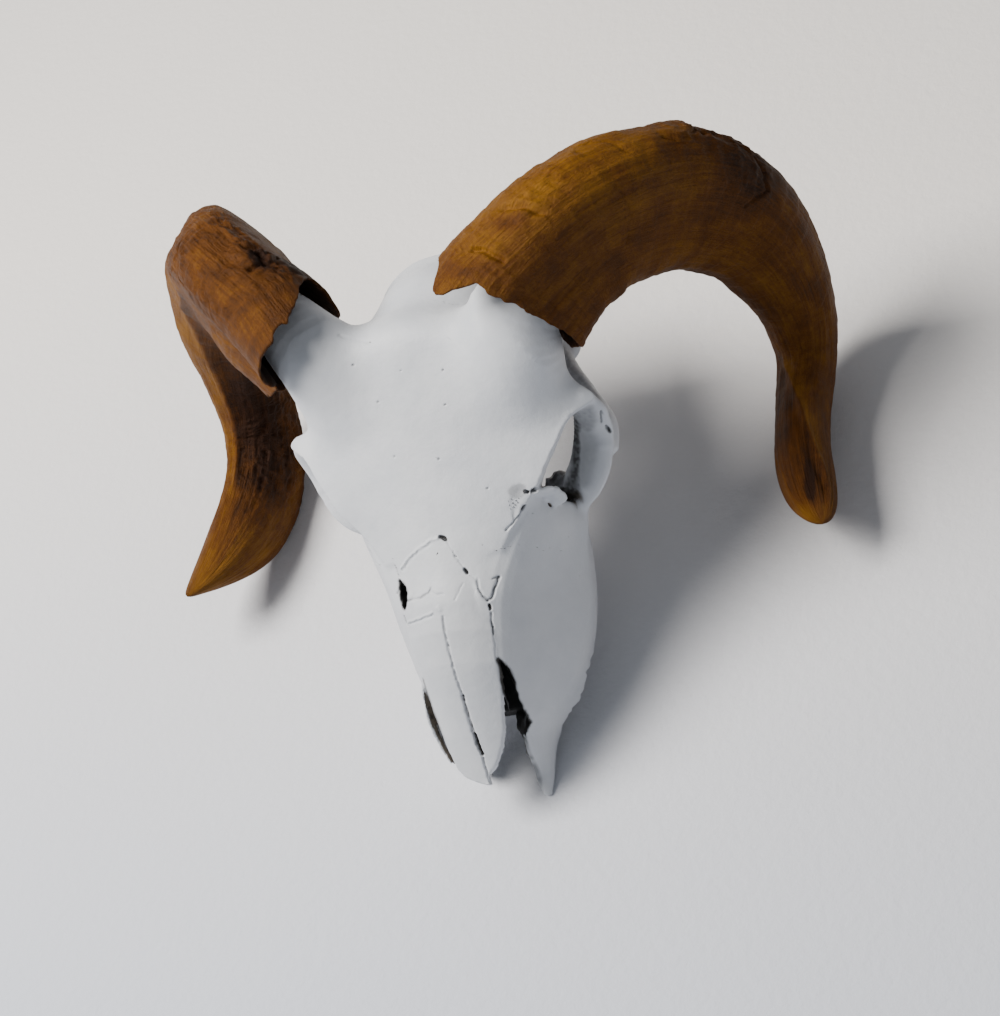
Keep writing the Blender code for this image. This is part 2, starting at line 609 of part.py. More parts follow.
# ---- horn sheaths ----
def loosen(obj):
    """Turn and slide the right sheath from where it grew to where it now sits."""
    turn = Matrix.Identity(4)
    for angle, axis in zip(loose_turn_deg, "XYZ"):
        turn = Matrix.Rotation(math.radians(angle), 4, axis) @ turn
    pivot = Vector(loose_pivot)
    obj.data.transform(Matrix.Translation(pivot + Vector(loose_slide)) @ turn @ Matrix.Translation(-pivot))


def sheath_rings(count, sides, rim, swells, stop, inset):
    """Rings of a sheath from its ragged rim to the share stop of the horn's length."""
    angle = np.linspace(0, 2 * np.pi, sides, endpoint=False)
    knots = np.array(rim, float)
    offset = np.interp(np.degrees(angle), knots[:, 0], knots[:, 1])
    offset = offset + rim_step * np.sin(7 * angle) * np.sin(3 * angle)
    share = np.linspace(0, stop, count)[:, None]
    share = share + offset / horn_length * np.exp(-share * horn_length / rim_fade)
    angle = np.broadcast_to(angle, share.shape)
    along = np.linspace(0, stop, count)[:, None] * horn_length
    swell_out = np.zeros(share.shape)
    for middle_deg, middle, amount, spread_deg, spread in swells:
        away_deg = (np.degrees(angle) - middle_deg + 180) % 360 - 180
        swell_out += amount * np.exp(-(away_deg / spread_deg) ** 2 - ((along - middle) / spread) ** 2)
    return horn_surface(share, angle, inset - swell_out[..., None])


def sheath(name, side, rim, swells):
    """Horn sheath: outer skin and inner hollow joined by the rim."""
    sides = 20
    outer = sheath_rings(24, sides, rim, swells, 1, 0)
    taper = sheath_wall + 24 * np.linspace(0, 1, 10) ** 4
    inner = sheath_rings(10, sides, rim, swells, sheath_depth, taper[:, None, None])
    bm = bmesh.new()
    outer_loops = [[bm.verts.new((side * p[0], p[1], p[2])) for p in ring] for ring in outer]
    inner_loops = [[bm.verts.new((side * p[0], p[1], p[2])) for p in ring] for ring in inner]
    for loops in (outer_loops, inner_loops):
        for low, high in zip(loops, loops[1:]):
            for i in range(sides):
                j = (i + 1) % sides
                bm.faces.new((low[i], low[j], high[j], high[i]))
        bm.faces.new(loops[-1])
    for i in range(sides):
        j = (i + 1) % sides
        bm.faces.new((outer_loops[0][i], outer_loops[0][j], inner_loops[0][j], inner_loops[0][i]))
    return make_object(name, bm)


# ---- finish ----
def material(name, colour, roughness):
    mat = bpy.data.materials.new(name)
    mat.use_nodes = True
    shader = mat.node_tree.nodes["Principled BSDF"]
    shader.inputs["Base Color"].default_value = colour
    shader.inputs["Roughness"].default_value = roughness
    return mat


def rest(objects):
    """Pitch the skull onto its molars and horns, in metres, with the origin under its middle."""
    turn = Matrix.Rotation(math.radians(roll_deg), 4, "Y") @ Matrix.Rotation(math.radians(pitch_deg), 4, "X")
    place = Matrix.Diagonal((mm, mm, mm, 1)) @ Matrix.Translation(seat) @ turn
    for obj in objects:
        obj.data.transform(place)
        obj.data.shade_smooth()
        obj.data.set_sharp_from_angle(angle=math.radians(sharp_angle))


def side_region(side, inside, outline):
    """Sections of a region on one side, from inside outward, given in rising x."""
    return [(side * inside, outline), (side * outside, outline)][::side]


def make_bones():
    """Every bone of the cranium, cut from one form so that neighbours share their outlines."""
    cranium = make_cranium()
    open_cranium(cranium)
    for side, border in ((1, nasal_border_left), (-1, nasal_border_right)):
        boolean(cranium, skin("nasal bed", nasal_rings(border, nasal_thick, gap, 0.0), side))
    bones = [skin("nasal_left", nasal_rings(nasal_border_left, nasal_thick), 1),
             skin("nasal_right", nasal_rings(nasal_border_right, nasal_thick), -1)]

    bones.append(part_off(cranium, "occipital", [(-outside, occipital_outline), (outside, occipital_outline)]))
    for side, name in ((1, "left"), (-1, "right")):
        region = side_region(side, zygomatic_inside, zygomatic_outline)
        bones.append(part_off(cranium, "zygomatic_" + name, region))
    bones.append(part_off(cranium, "brain_case", [
        (-outside, temple_outline), (-temple_inside, temple_outline), (-brain_half_width, brain_outline),
        (brain_half_width, brain_outline), (temple_inside, temple_outline), (outside, temple_outline)]))
    bones.append(part_off(cranium, "frontals", [(-outside, frontal_outline), (outside, frontal_outline)]))
    bones.append(part_off(cranium, "sphenoid", [(-outside, sphenoid_outline), (outside, sphenoid_outline)]))
    for side, name in ((1, "left"), (-1, "right")):
        region = side_region(side, lacrimal_inside, lacrimal_outline)
        bones.append(part_off(cranium, "lacrimal_" + name, region))
    for side, name, front in ((1, "left", 0), (-1, "right", right_tip_broken)):
        outline = [(front, -20), (front, 140), (170, 140), (170, -20)]
        maxilla = copy_of(cranium, "maxilla_" + name)
        boolean(maxilla, block("region", side_region(side, gap / 2, outline)), "INTERSECT")
        add_molars(maxilla, side)
        bones.append(maxilla)
    discard(cranium)
    return bones


def main():
    for obj in list(bpy.data.objects):
        bpy.data.objects.remove(obj)
    bones = make_bones()
    sheaths = [sheath("horn_sheath_left", 1, rim_left, swells_left),
               sheath("horn_sheath_right", -1, rim_right, swells_right)]
    loosen(sheaths[1])
    bone = material("bone", bone_colour, 0.6)
    horn = material("horn", horn_colour, 0.45)
    for obj in bones + sheaths:
        largest_body(obj)
        obj.data.materials.clear()
        obj.data.materials.append(horn if obj in sheaths else bone)
    rest(bones + sheaths)


main()
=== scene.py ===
import math

import bmesh
import bpy
import numpy as np
from mathutils import Matrix


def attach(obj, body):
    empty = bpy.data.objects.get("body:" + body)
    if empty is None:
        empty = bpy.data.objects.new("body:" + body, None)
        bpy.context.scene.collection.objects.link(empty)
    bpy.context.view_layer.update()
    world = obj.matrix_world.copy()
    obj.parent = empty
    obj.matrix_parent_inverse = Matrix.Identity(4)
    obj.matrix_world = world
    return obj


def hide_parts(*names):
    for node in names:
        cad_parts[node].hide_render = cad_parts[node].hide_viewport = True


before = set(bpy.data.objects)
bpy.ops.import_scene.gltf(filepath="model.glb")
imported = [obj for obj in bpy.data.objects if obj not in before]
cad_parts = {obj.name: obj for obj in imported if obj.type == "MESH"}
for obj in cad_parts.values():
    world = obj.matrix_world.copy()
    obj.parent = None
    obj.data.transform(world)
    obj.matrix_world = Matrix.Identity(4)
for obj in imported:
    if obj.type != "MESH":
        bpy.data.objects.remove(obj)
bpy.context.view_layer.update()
print("solids loaded")

# How the skull rests, the same as in its source.
resting = {"pitchDeg": 21.09, "rollDeg": 0.42, "seat": (10.16, -141.83, -25.93), "floorGap": 0.00002}


def turnOf(degrees, axis):
    c, s = math.cos(math.radians(degrees)), math.sin(math.radians(degrees))
    rows = {"X": ((1, 0, 0), (0, c, -s), (0, s, c)), "Y": ((c, 0, s), (0, 1, 0), (-s, 0, c)),
            "Z": ((c, -s, 0), (s, c, 0), (0, 0, 1))}
    return np.array(rows[axis])


restTurn = turnOf(resting["rollDeg"], "Y") @ turnOf(resting["pitchDeg"], "X")


# From the skull's frame to the world, in metres; nothing sinks into the floor.
def toWorld(points):
    world = (points @ restTurn.T + np.array(resting["seat"])) * 0.001
    world[:, 2] = np.maximum(world[:, 2], resting["floorGap"])
    return world


def unit(values):
    return np.clip(values, 0, 1)


# A smooth curve through the knots, read at evenly spaced places.
def splineThrough(knots, count):
    k = np.array(knots, float)
    k = k.reshape(len(k), -1)
    n = len(k)
    a = np.eye(n)
    b = np.zeros_like(k)
    for i in range(1, n - 1):
        a[i, i - 1:i + 2] = (1, 4, 1)
        b[i] = 6 * (k[i - 1] - 2 * k[i] + k[i + 1])
    m = np.linalg.solve(a, b)
    s = np.linspace(0, n - 1, count)
    i = np.minimum(s.astype(int), n - 2)
    f = (s - i)[:, None]
    g = 1 - f
    return g * k[i] + f * k[i + 1] + ((g ** 3 - g) * m[i] + (f ** 3 - f) * m[i + 1]) / 6


# Rows of a table between its own: the first column says where each row lies.
def rowsAt(rows, places):
    rows = np.array(rows, float)
    fine = splineThrough(rows, 12 * len(rows))
    return np.column_stack([np.interp(places, fine[:, 0], fine[:, i]) for i in range(1, rows.shape[1])])


# A closed ring through the points, each side in the given number of steps.
def roundedRing(points, steps):
    p = np.array(points, float)
    ring = []
    for i in range(len(p)):
        a, b, c, d = p[i - 1], p[i], p[(i + 1) % len(p)], p[(i + 2) % len(p)]
        for s in range(steps):
            t = s / steps
            ring.append(0.5 * (2 * b + (c - a) * t + (2 * a - 5 * b + 4 * c - d) * t * t
                               + (3 * b - a - 3 * c + d) * t ** 3))
    return np.array(ring)


# Direction of the path at each point, and two axes across it that do not twist.
def framesAlong(path, first):
    t = np.gradient(path, axis=0)
    t /= np.linalg.norm(t, axis=1)[:, None]
    u = np.zeros_like(path)
    last = np.array(first, float)
    for i in range(len(path)):
        last = last - t[i] * (last @ t[i])
        last /= np.linalg.norm(last)
        u[i] = last
    return t, u, np.cross(t, u)


# The eight corners of a cell, and how much each of them weighs at a place inside it.
def corners(part):
    for i in (0, 1):
        for j in (0, 1):
            for k in (0, 1):
                weight = 1
                for p, corner in zip(part, (i, j, k)):
                    weight = weight * (p if corner else 1 - p)
                yield i, j, k, weight


# Grainy noise between -1 and 1: random heights on a lattice of the given size, joined smoothly.
def grain(x, y, z, size, seed=0):
    place = [np.asarray(a, float) / size + 31.7 * (seed + 1) for a in (x, y, z)]
    cell = [np.floor(a).astype(np.int64) for a in place]
    ease = [(a - c) ** 2 * (3 - 2 * (a - c)) for a, c in zip(place, cell)]
    total = 0
    for i, j, k, weight in corners(ease):
        # Large primes scatter the numbers of the corner into a random height.
        mixed = (cell[0] + i) * 73856093 ^ (cell[1] + j) * 19349663 ^ (cell[2] + k) * 83492791
        mixed = (mixed ^ (mixed >> 13)) * 1274126177 & 0xFFFFFFFF
        height = ((mixed ^ (mixed >> 16)) & 0xFFFF) / 32767.5 - 1
        total = total + height * weight
    return total


# Smooth noise between -1 and 1 from slanted waves; seed picks the slants.
def waves(x, y, z, size, seed=0, count=5):
    total = 0
    for i in range(count):
        a = 2.4 * i + 0.7 * seed
        b = 1.3 * i + 1.9 * seed
        k = 2 * math.pi / size * (0.7 + 0.23 * ((3 * i + seed) % 4))
        sx, sy, sz = math.cos(a) * math.cos(b), math.sin(a) * math.cos(b), math.sin(b)
        total = total + np.sin(k * (sx * x + sy * y + sz * z) + 5.1 * i + seed
                               + 1.3 * np.sin(k * 0.61 * (sy * x - sx * y + 0.8 * sz * z) + 2.2 * i))
    return total / count * 1.4


# How far each grid point is outside the bone, built for one half of the head at a time.
grid = {"step": 0.75, "y": (22, 288), "z": (-7, 140), "half": 84, "far": 12.0}
step = grid["step"]
halfCount = int(grid["half"] / step)
xs = (np.arange(halfCount) + 0.5).astype(np.float32) * step
ys = np.arange(grid["y"][0], grid["y"][1], step, dtype=np.float32)
zs = np.arange(grid["z"][0], grid["z"][1], step, dtype=np.float32)
field = np.full((len(xs), len(ys), len(zs)), grid["far"], np.float32)


# Part of the grid between two corners: where it lies, and its coordinates.
def window(low, high, axes=None):
    ax = axes or (xs, ys, zs)
    cut = tuple(slice(int(np.searchsorted(a, l)), int(np.searchsorted(a, h)))
                for a, l, h in zip(ax, low, high))
    x, y, z = (a[c] for a, c in zip(ax, cut))
    return cut, x[:, None, None], y[None, :, None], z[None, None, :]


# The lesser of two distances, with a rounded valley between them.
def smoothMin(a, b, blend):
    h = unit(0.5 + 0.5 * (b - a) / blend)
    return b + (a - b) * h - blend * h * (1 - h)


# Bone added to a part of the field, and bone taken out of it.
def join(target, cut, distance, blend):
    target[cut] = smoothMin(target[cut], distance, blend)


def carve(target, cut, distance, blend):
    target[cut] = -smoothMin(-target[cut], distance, blend)


# Distance to a ball with three half sizes, turned about the axis from side to side.
def ballDistance(x, y, z, centre, radii, tiltDeg=0):
    dx, dy, dz = x - centre[0], y - centre[1], z - centre[2]
    if tiltDeg:
        c, s = math.cos(math.radians(tiltDeg)), math.sin(math.radians(tiltDeg))
        dy, dz = c * dy + s * dz, c * dz - s * dy
    a = np.sqrt((dx / radii[0]) ** 2 + (dy / radii[1]) ** 2 + (dz / radii[2]) ** 2)
    b = np.sqrt((dx / radii[0] ** 2) ** 2 + (dy / radii[1] ** 2) ** 2 + (dz / radii[2] ** 2) ** 2)
    return a * (a - 1) / np.maximum(b, 1e-4)


def addBall(centre, radii, blend, tiltDeg=0, use=join):
    reach = max(radii) + 8
    cut, x, y, z = window([c - reach for c in centre], [c + reach for c in centre])
    use(field, cut, ballDistance(x, y, z, centre, radii, tiltDeg).astype(np.float32), blend)


# Distance to a bent rod of elliptic sections: centres, two axes across it, and half sizes along them.
def chainDistance(x, y, z, centres, u, w, a, b):
    nearest, at = None, None
    for i in range(len(centres) - 1):
        p = centres[i]
        along = centres[i + 1] - p
        t = ((x - p[0]) * along[0] + (y - p[1]) * along[1] + (z - p[2]) * along[2]) / (along @ along)
        s = unit(t)
        gap = [v - p[c] - s * along[c] for c, v in enumerate((x, y, z))]
        away = gap[0] ** 2 + gap[1] ** 2 + gap[2] ** 2
        if nearest is None:
            nearest, at = away, s
        else:
            closer = away < nearest
            nearest = np.where(closer, away, nearest)
            at = np.where(closer, i + s, at)
    table = np.column_stack([centres, u, w, a, b])
    low = np.minimum(at.astype(np.int32), len(centres) - 2)
    f = (at - low)[..., None].astype(np.float32)
    row = table[low] * (1 - f) + table[low + 1] * f
    dx, dy, dz = x - row[..., 0], y - row[..., 1], z - row[..., 2]
    du = dx * row[..., 3] + dy * row[..., 4] + dz * row[..., 5]
    dw = dx * row[..., 6] + dy * row[..., 7] + dz * row[..., 8]
    past = np.sqrt(np.maximum(dx * dx + dy * dy + dz * dz - du * du - dw * dw, 0))
    past = np.where((at <= 0) | (at >= len(centres) - 1), past, 0)
    k = np.sqrt((du / row[..., 9]) ** 2 + (dw / row[..., 10]) ** 2)
    m = np.sqrt((du / row[..., 9] ** 2) ** 2 + (dw / row[..., 10] ** 2) ** 2)
    side = k * (k - 1) / np.maximum(m, 1e-4)
    return np.where(past > 0, np.sqrt(np.maximum(side, 0) ** 2 + past ** 2) + np.minimum(side, 0), side)


def addChain(centres, u, w, a, b, blend, use=join):
    reach = max(a.max(), b.max()) + 7
    cut, x, y, z = window(centres.min(0) - reach, centres.max(0) + reach)
    use(field, cut, chainDistance(x, y, z, centres, u, w, a, b).astype(np.float32), blend)


# A bent rod from a few knots: centres, the two axes across it, and its half sizes along them.
def bentRod(path, halfFirst, halfSecond, first, count):
    centres = splineThrough(path, count)
    t, u, w = framesAlong(centres, first)
    return centres, u, w, splineThrough(halfFirst, count)[:, 0], splineThrough(halfSecond, count)[:, 0]


def addRod(path, halfFirst, halfSecond, first, blend, use=join):
    addChain(*bentRod(path, halfFirst, halfSecond, first, 4 * len(path)), blend, use)


# Signed distance, slice by slice along Y, to outlines whose left half is given from top to bottom.
def loftDistance(x, z, outlines):
    shape = np.broadcast(x, z).shape
    best = np.full((shape[0], len(outlines), shape[2]), 1e6, np.float32)
    inside = np.zeros(best.shape, bool)
    rings = np.array(outlines, np.float32)
    for i in range(rings.shape[1] - 1):
        ax, az = rings[None, :, i, 0, None], rings[None, :, i, 1, None]
        bx, bz = rings[None, :, i + 1, 0, None], rings[None, :, i + 1, 1, None]
        ex, ez = bx - ax, bz - az
        dx, dz = x - ax, z - az
        t = unit((dx * ex + dz * ez) / np.maximum(ex * ex + ez * ez, 1e-6))
        best = np.minimum(best, (dx - t * ex) ** 2 + (dz - t * ez) ** 2)
        crosses = (az > z) != (bz > z)
        inside ^= crosses & (x < ax + ex * (z - az) / np.where(np.abs(ez) < 1e-6, 1e-6, ez))
    return np.where(inside, -1, 1) * np.sqrt(best)


def addLoft(outlineAt, form):
    low, high = form["span"]
    wide, bottom, top = form["box"]
    cut, x, y, z = window((0, low - 6, bottom), (wide, high + 6, top))
    places = np.clip(y[0, :, 0], low, high)
    d = loftDistance(x, z, outlineAt(places))
    past = np.maximum(low - y, y - high)
    d = np.where(past > 0, np.sqrt(np.maximum(d, 0) ** 2 + past ** 2), np.maximum(d, past))
    join(field, cut, d.astype(np.float32), form["blend"])


# Half sections of the face, muzzle to orbit: y, ridge height, then x and z of the roof edge, the upper wall,
# the lower wall, the facial crest, the surface under it, the tooth margin, and the palate's side.
face = {
    "blend": 4, "span": (29, 150), "box": (58, 3, 108),
    "rows": [
        (29, 20.0, 12.0, 20.3, 14.0, 20.5, 15.5, 20.0, 17.0, 18.6, 17.0, 16.8, 15.6, 15.2, 11.5, 15.6, 16.0),
        (38, 22.5, 13.0, 23.0, 15.0, 23.0, 16.6, 22.0, 18.2, 20.2, 18.6, 17.4, 16.6, 15.0, 11.5, 15.2, 15.5),
        (46, 33.0, 14.0, 33.0, 16.2, 31.0, 17.8, 28.0, 19.4, 24.0, 20.0, 19.5, 18.0, 14.8, 11.8, 15.0, 15.5),
        (54, 43.5, 15.2, 43.6, 17.4, 40.5, 19.2, 36.0, 21.4, 29.0, 22.0, 21.0, 20.0, 14.0, 12.5, 14.6, 15.0),
        (60, 57.0, 15.8, 56.0, 19.0, 51.0, 21.4, 44.0, 24.0, 34.0, 25.0, 23.0, 22.6, 12.8, 13.5, 13.8, 15.0),
        (66, 66.0, 16.0, 61.5, 20.4, 56.0, 24.0, 47.0, 27.2, 36.0, 29.2, 24.0, 27.5, 12.0, 15.0, 13.0, 15.0),
        (73, 74.5, 16.4, 68.5, 22.0, 61.0, 26.5, 50.0, 31.0, 37.5, 33.4, 25.0, 32.0, 11.0, 17.5, 12.0, 15.5),
        (82, 81.0, 17.2, 75.0, 24.0, 66.0, 30.0, 52.0, 35.0, 38.0, 37.4, 27.0, 34.8, 10.2, 19.5, 11.5, 16.5),
        (93, 86.5, 18.4, 80.0, 26.4, 70.0, 33.6, 54.0, 39.2, 38.0, 41.2, 28.0, 36.6, 9.8, 21.5, 11.5, 18.0),
        (104, 89.5, 20.0, 83.6, 29.2, 73.0, 36.4, 56.0, 42.6, 38.0, 44.4, 28.5, 38.0, 9.4, 22.5, 11.5, 19.0),
        (114, 91.0, 22.4, 85.0, 32.0, 74.5, 38.6, 58.0, 44.2, 40.0, 46.0, 29.5, 38.4, 9.2, 23.0, 11.5, 19.5),
        (125, 92.0, 27.0, 85.5, 36.0, 76.0, 41.6, 61.0, 45.6, 44.0, 46.6, 32.0, 38.4, 9.2, 23.0, 12.0, 20.0),
        (135, 93.5, 32.0, 86.0, 40.0, 77.0, 45.0, 64.0, 47.6, 50.0, 47.6, 36.0, 37.6, 10.0, 22.5, 13.0, 20.5),
        (143, 96.0, 36.0, 86.5, 43.0, 78.0, 47.0, 66.0, 49.6, 54.0, 48.8, 41.0, 35.0, 13.0, 21.0, 15.0, 21.5),
        (150, 98.0, 39.0, 86.5, 44.0, 78.5, 47.5, 67.0, 49.4, 56.0, 46.0, 44.0, 30.0, 22.0, 19.0, 19.0,
         24.0)]}


# The left half of a rounded ring, from its top over the given points to its bottom.
def halfRing(top, half, bottom):
    ring = roundedRing([(0, top)] + half + [(0, bottom)] + [(-x, z) for x, z in half[::-1]], 3)
    return ring[:3 * (len(half) + 1) + 1]


def faceOutlines(places):
    outlines = []
    for row in rowsAt(face["rows"], places):
        half = [(row[i], row[i + 1]) for i in range(1, 15, 2)]
        outlines.append(halfRing(row[0], half, row[15]))
    return outlines


# The vault from the nasal bones to the nuchal crest: y, ridge height, x and z of its edge, thickness of its
# edge.
vault = {
    "blend": 4, "span": (126, 261), "box": (84, 50, 132),
    "rows": [(126, 92.0, 27, 86.0, 12), (140, 94.8, 38, 88.5, 10), (149, 97.8, 46.5, 91.0, 7.5),
             (157, 100.8, 51.5, 92.5, 6.5), (165, 103.8, 56.5, 93.4, 6.0), (173, 107.0, 61, 93.0, 5.5),
             (178, 109.1, 65, 92.0, 5.0), (183, 111.2, 72.2, 88.6, 4.5), (187, 112.8, 72.5, 89.0, 6.0),
             (193, 115.2, 65, 92.5, 7.5), (200, 118.2, 59, 97.0, 8), (208, 121.0, 56, 102.0, 9),
             (217, 122.6, 52, 104.0, 10), (226, 116.5, 38, 94.0, 9), (235, 105.5, 28, 83.0, 9),
             (245, 95.5, 28, 76.5, 9), (254, 87.5, 27, 71.0, 9), (261, 81.0, 26, 68.0, 8)],
    # The right edge is hollowed in front of its horn core: y, how much narrower than the left.
    "rightHollow": [(180, 0), (186, 2), (191, 8), (197, 6), (204, 0)]}


def vaultOutlines(places, side):
    outlines = []
    s = np.linspace(0, 1, 11)
    t = np.linspace(1, 0, 6)
    hollow = np.array(vault["rightHollow"])
    for place, (ridge, edgeX, edgeZ, thick) in zip(places, rowsAt(vault["rows"], places)):
        if side < 0:
            edgeX -= np.interp(place, hollow[:, 0], hollow[:, 1])
        top = np.column_stack([s * edgeX, ridge - (ridge - edgeZ) * s ** 2.1])
        low = np.column_stack([t * edgeX * 0.96, edgeZ - thick + (ridge - edgeZ) * 0.25 * (1 - t * t)])
        outlines.append(np.vstack([top, low]))
    return outlines


# The core behind the face that carries the inner walls of the orbits: y, top, half width there, height and
# half width at the middle, height and half width low down, bottom.
coreForm = {
    "blend": 4, "span": (138, 263), "box": (50, 22, 124),
    "rows": [(138, 93, 34, 66, 27, 42, 18, 30), (152, 98, 33, 66, 21, 44, 15, 31),
             (166, 103, 31, 68, 18.5, 46, 13, 33), (180, 108, 31, 70, 18.5, 48, 12.5, 35),
             (194, 113, 36, 74, 23, 50, 14, 35), (208, 116, 42, 76, 33, 50, 22, 34),
             (222, 112, 38, 76, 35, 48, 28, 32), (238, 99, 29, 70, 35, 48, 30, 31),
             (252, 87, 28, 65, 35, 46, 29, 32), (263, 78, 25, 58, 28, 44, 24, 34)]}


def coreOutlines(places):
    outlines = []
    for top, xTop, zMid, xMid, zLow, xLow, bottom in rowsAt(coreForm["rows"], places):
        half = [(xTop * 0.6, top - 2), (xTop, top - 12), (xMid, zMid), (xLow, zLow)]
        outlines.append(halfRing(top, half, bottom))
    return outlines


# Rounded forms of the head, and the hollows of orbit and temple: centre, half sizes, blend, tilt.
balls = {
    "brain": ((0, 230, 70), (34, 32, 35), 5), "occiput": ((0, 252, 52), (29, 15, 27), 4),
    "ear": ((29, 241, 48), (12, 15, 17), 3), "condyle": ((14, 271, 34), (9, 9.5, 12), 3, -25),
    "bulla": ((22, 238, 25), (8, 12, 10), 3), "jaw": ((44, 221, 53), (10, 8, 5.5), 3),
    "tuber": ((31, 143, 27), (11, 10, 14), 3), "orbit": ((62, 172, 66), (39, 24.5, 20.5), 3),
    "temple": ((62, 212, 67), (36, 25, 27), 3)}

# Rim of the orbit, and the bony shelf that slopes from it towards a point deep in the orbit.
orbitRim = {
    "path": [(44, 124, 37), (49.5, 139, 43), (53, 147.5, 48.5), (60, 151, 54.5), (67, 158, 59.5),
             (71, 167, 63.5), (73.5, 175, 68.5), (74.5, 180, 75), (74, 184, 82), (69, 187, 90)],
    "width": [8, 11, 15, 18, 19, 19, 18, 16, 14, 12],
    "thick": [3.2, 3.2, 3.0, 2.8, 2.8, 2.8, 2.8, 2.8, 3.0, 3.6], "deep": (30, 173, 62), "count": 44}


# A thin shelf of bone along a rim.
def addShelf(s):
    edge = splineThrough(s["path"], s["count"])
    wide = splineThrough(s["width"], s["count"])
    thick = splineThrough(s["thick"], s["count"])[:, 0]
    t = np.gradient(edge, axis=0)
    t /= np.linalg.norm(t, axis=1)[:, None]
    u = edge - np.array(s["deep"], float)
    u -= t * np.sum(u * t, axis=1)[:, None]
    u /= np.linalg.norm(u, axis=1)[:, None]
    addChain(edge - u * wide / 2, u, np.cross(t, u), wide[:, 0] / 2, thick, 3)


# Rods of bone: path, half width along the first axis, half width across it, first axis, blend.
rods = {
    "nuchalCrest": ([(0, 261, 79.5), (16, 260, 75), (30, 254, 68), (36, 246, 54)], [3.4, 3.4, 3.4, 4],
                    [3.2, 3.2, 3.2, 4], (0, 1, 0), 4),
    "jugular": ([(27, 256, 42), (30, 261, 28), (31, 265, 15), (30, 268, 6)], [8, 7, 5, 3],
                [4.5, 3.4, 2.8, 2.2], (0, 1, 0), 3),
    "earTube": ([(24, 240, 36), (33, 241, 41), (41, 243, 46)], [7, 6, 5.5], [7, 6, 5.5], (0, 1, 0), 3),
    "pterygoid": ([(15, 142, 28), (13.5, 158, 29), (12, 174, 31), (11, 192, 36)], [15, 15, 14, 9],
                  [3, 2.2, 2.0, 2.6], (0, 0, 1), 3),
    "hamulus": ([(12, 176, 22), (12.5, 183, 15), (13, 188, 11)], [3.4, 2.6, 1.8], [2.2, 2.0, 1.6], (1, 0, 0),
                2),
    "arch": (
        [(68, 170, 60), (68.5, 180, 60.5), (64.5, 189, 61.5), (57.5, 199.5, 61.5), (51.5, 208.5, 60),
         (44.5, 218.5, 57.5), (34, 227, 56)],
        [6, 6, 5.5, 5.2, 5.5, 6.5, 8], [3.5, 3.6, 3.6, 3.8, 4.0, 5, 6.5], (0, 0, 1), 3),
    "skullBase": ([(0, 272, 27), (0, 250, 29), (0, 225, 33), (0, 200, 38)], [4.5, 4.5, 5, 5], [14, 12, 10, 9],
                  (0, 0, 1), 3)}
# The horn cores differ: the right one is slimmer in front, where its loose sheath shows it.
hornCores = {
    1: ([(34, 198, 93), (42, 208, 104.5), (49, 220.5, 111.5), (63.5, 238.5, 110), (79, 255, 102)],
        [23, 21.5, 19.5, 16, 8], [27, 25, 19.5, 15, 8], (0, 0, 1), 9),
    -1: ([(34, 199, 93), (40.5, 209, 104), (50, 220.5, 111), (65, 237.5, 110), (80, 253.5, 102)],
         [23, 21.5, 19.5, 16, 8], [25, 22.5, 18, 14, 8], (0, 0, 1), 9)}

# Molars: y, half length, x; each has two lobes and cross ridges.
molars = {
    "rows": [(95, 8.0, 26.8), (112, 9.0, 27.5), (131, 10.5, 27.0)], "halfWidth": 6.2, "root": 18, "cusp": 2.0,
    "innerDrop": 0.8}


# Three molars of rounded boxes, worn into ridges and pits.
def addMolars():
    for y0, half, x0 in molars["rows"]:
        cut, x, y, z = window((x0 - 10, y0 - half - 4, -5), (x0 + 10, y0 + half + 4, molars["root"] + 4))
        lobes = None
        for lobe in (-0.5, 0.5):
            dx, dy = (x - x0) / molars["halfWidth"], (y - y0 - lobe * half) / (half * 0.56)
            size = min(molars["halfWidth"], half * 0.56)
            d = (np.power(np.abs(dx) ** 2.6 + np.abs(dy) ** 2.6, 1 / 2.6) - 1) * size
            lobes = d if lobes is None else np.minimum(lobes, d)
        share = (y - y0) / half
        ridges = 0.9 + molars["cusp"] * 0.5 * (np.cos(share * 2 * np.pi) * -1)
        ridges = ridges + molars["innerDrop"] * (x < x0)
        pits = 1.3 * np.exp(-((np.abs(share) - 0.5) / 0.16) ** 2 - ((x - x0) / 2.0) ** 2)
        d = np.maximum(lobes, np.maximum(z - molars["root"], -(z - ridges - pits)))
        join(field, cut, np.broadcast_to(d, field[cut].shape).astype(np.float32), 1.2)


# Air in and under the skull.
nose = {
    "rows": [(20, 9.5, 11.0, 11.5, 40), (40, 10.8, 12.2, 12.5, 60), (54, 12.0, 15.4, 12.6, 90),
             (66, 13.0, 19.0, 13.0, 110), (80, 14.0, 22.0, 14.0, 110), (96, 14.5, 24.0, 14.5, 110),
             (112, 13.5, 22.0, 14.0, 108), (121, 9.0, 13.0, 9.0, 104)],
    "palateFront": 64, "palateHalfGap": 11.5}
air = {
    "choana": ((0, 163, 22), (9.5, 25, 13)), "spinal": ((0, 272, 44), (9, 16, 8.5)),
    "tear": ([(52, 152, 74), (42, 146, 72), (36, 140, 70)], [3, 2.6, 2], [3, 2.6, 2]),
    "sockets": [(66, 23.0), (74.5, 26.5), (83, 28.5)], "socketRadii": (4.2, 3.4, 9), "socketOutset": 2.5}


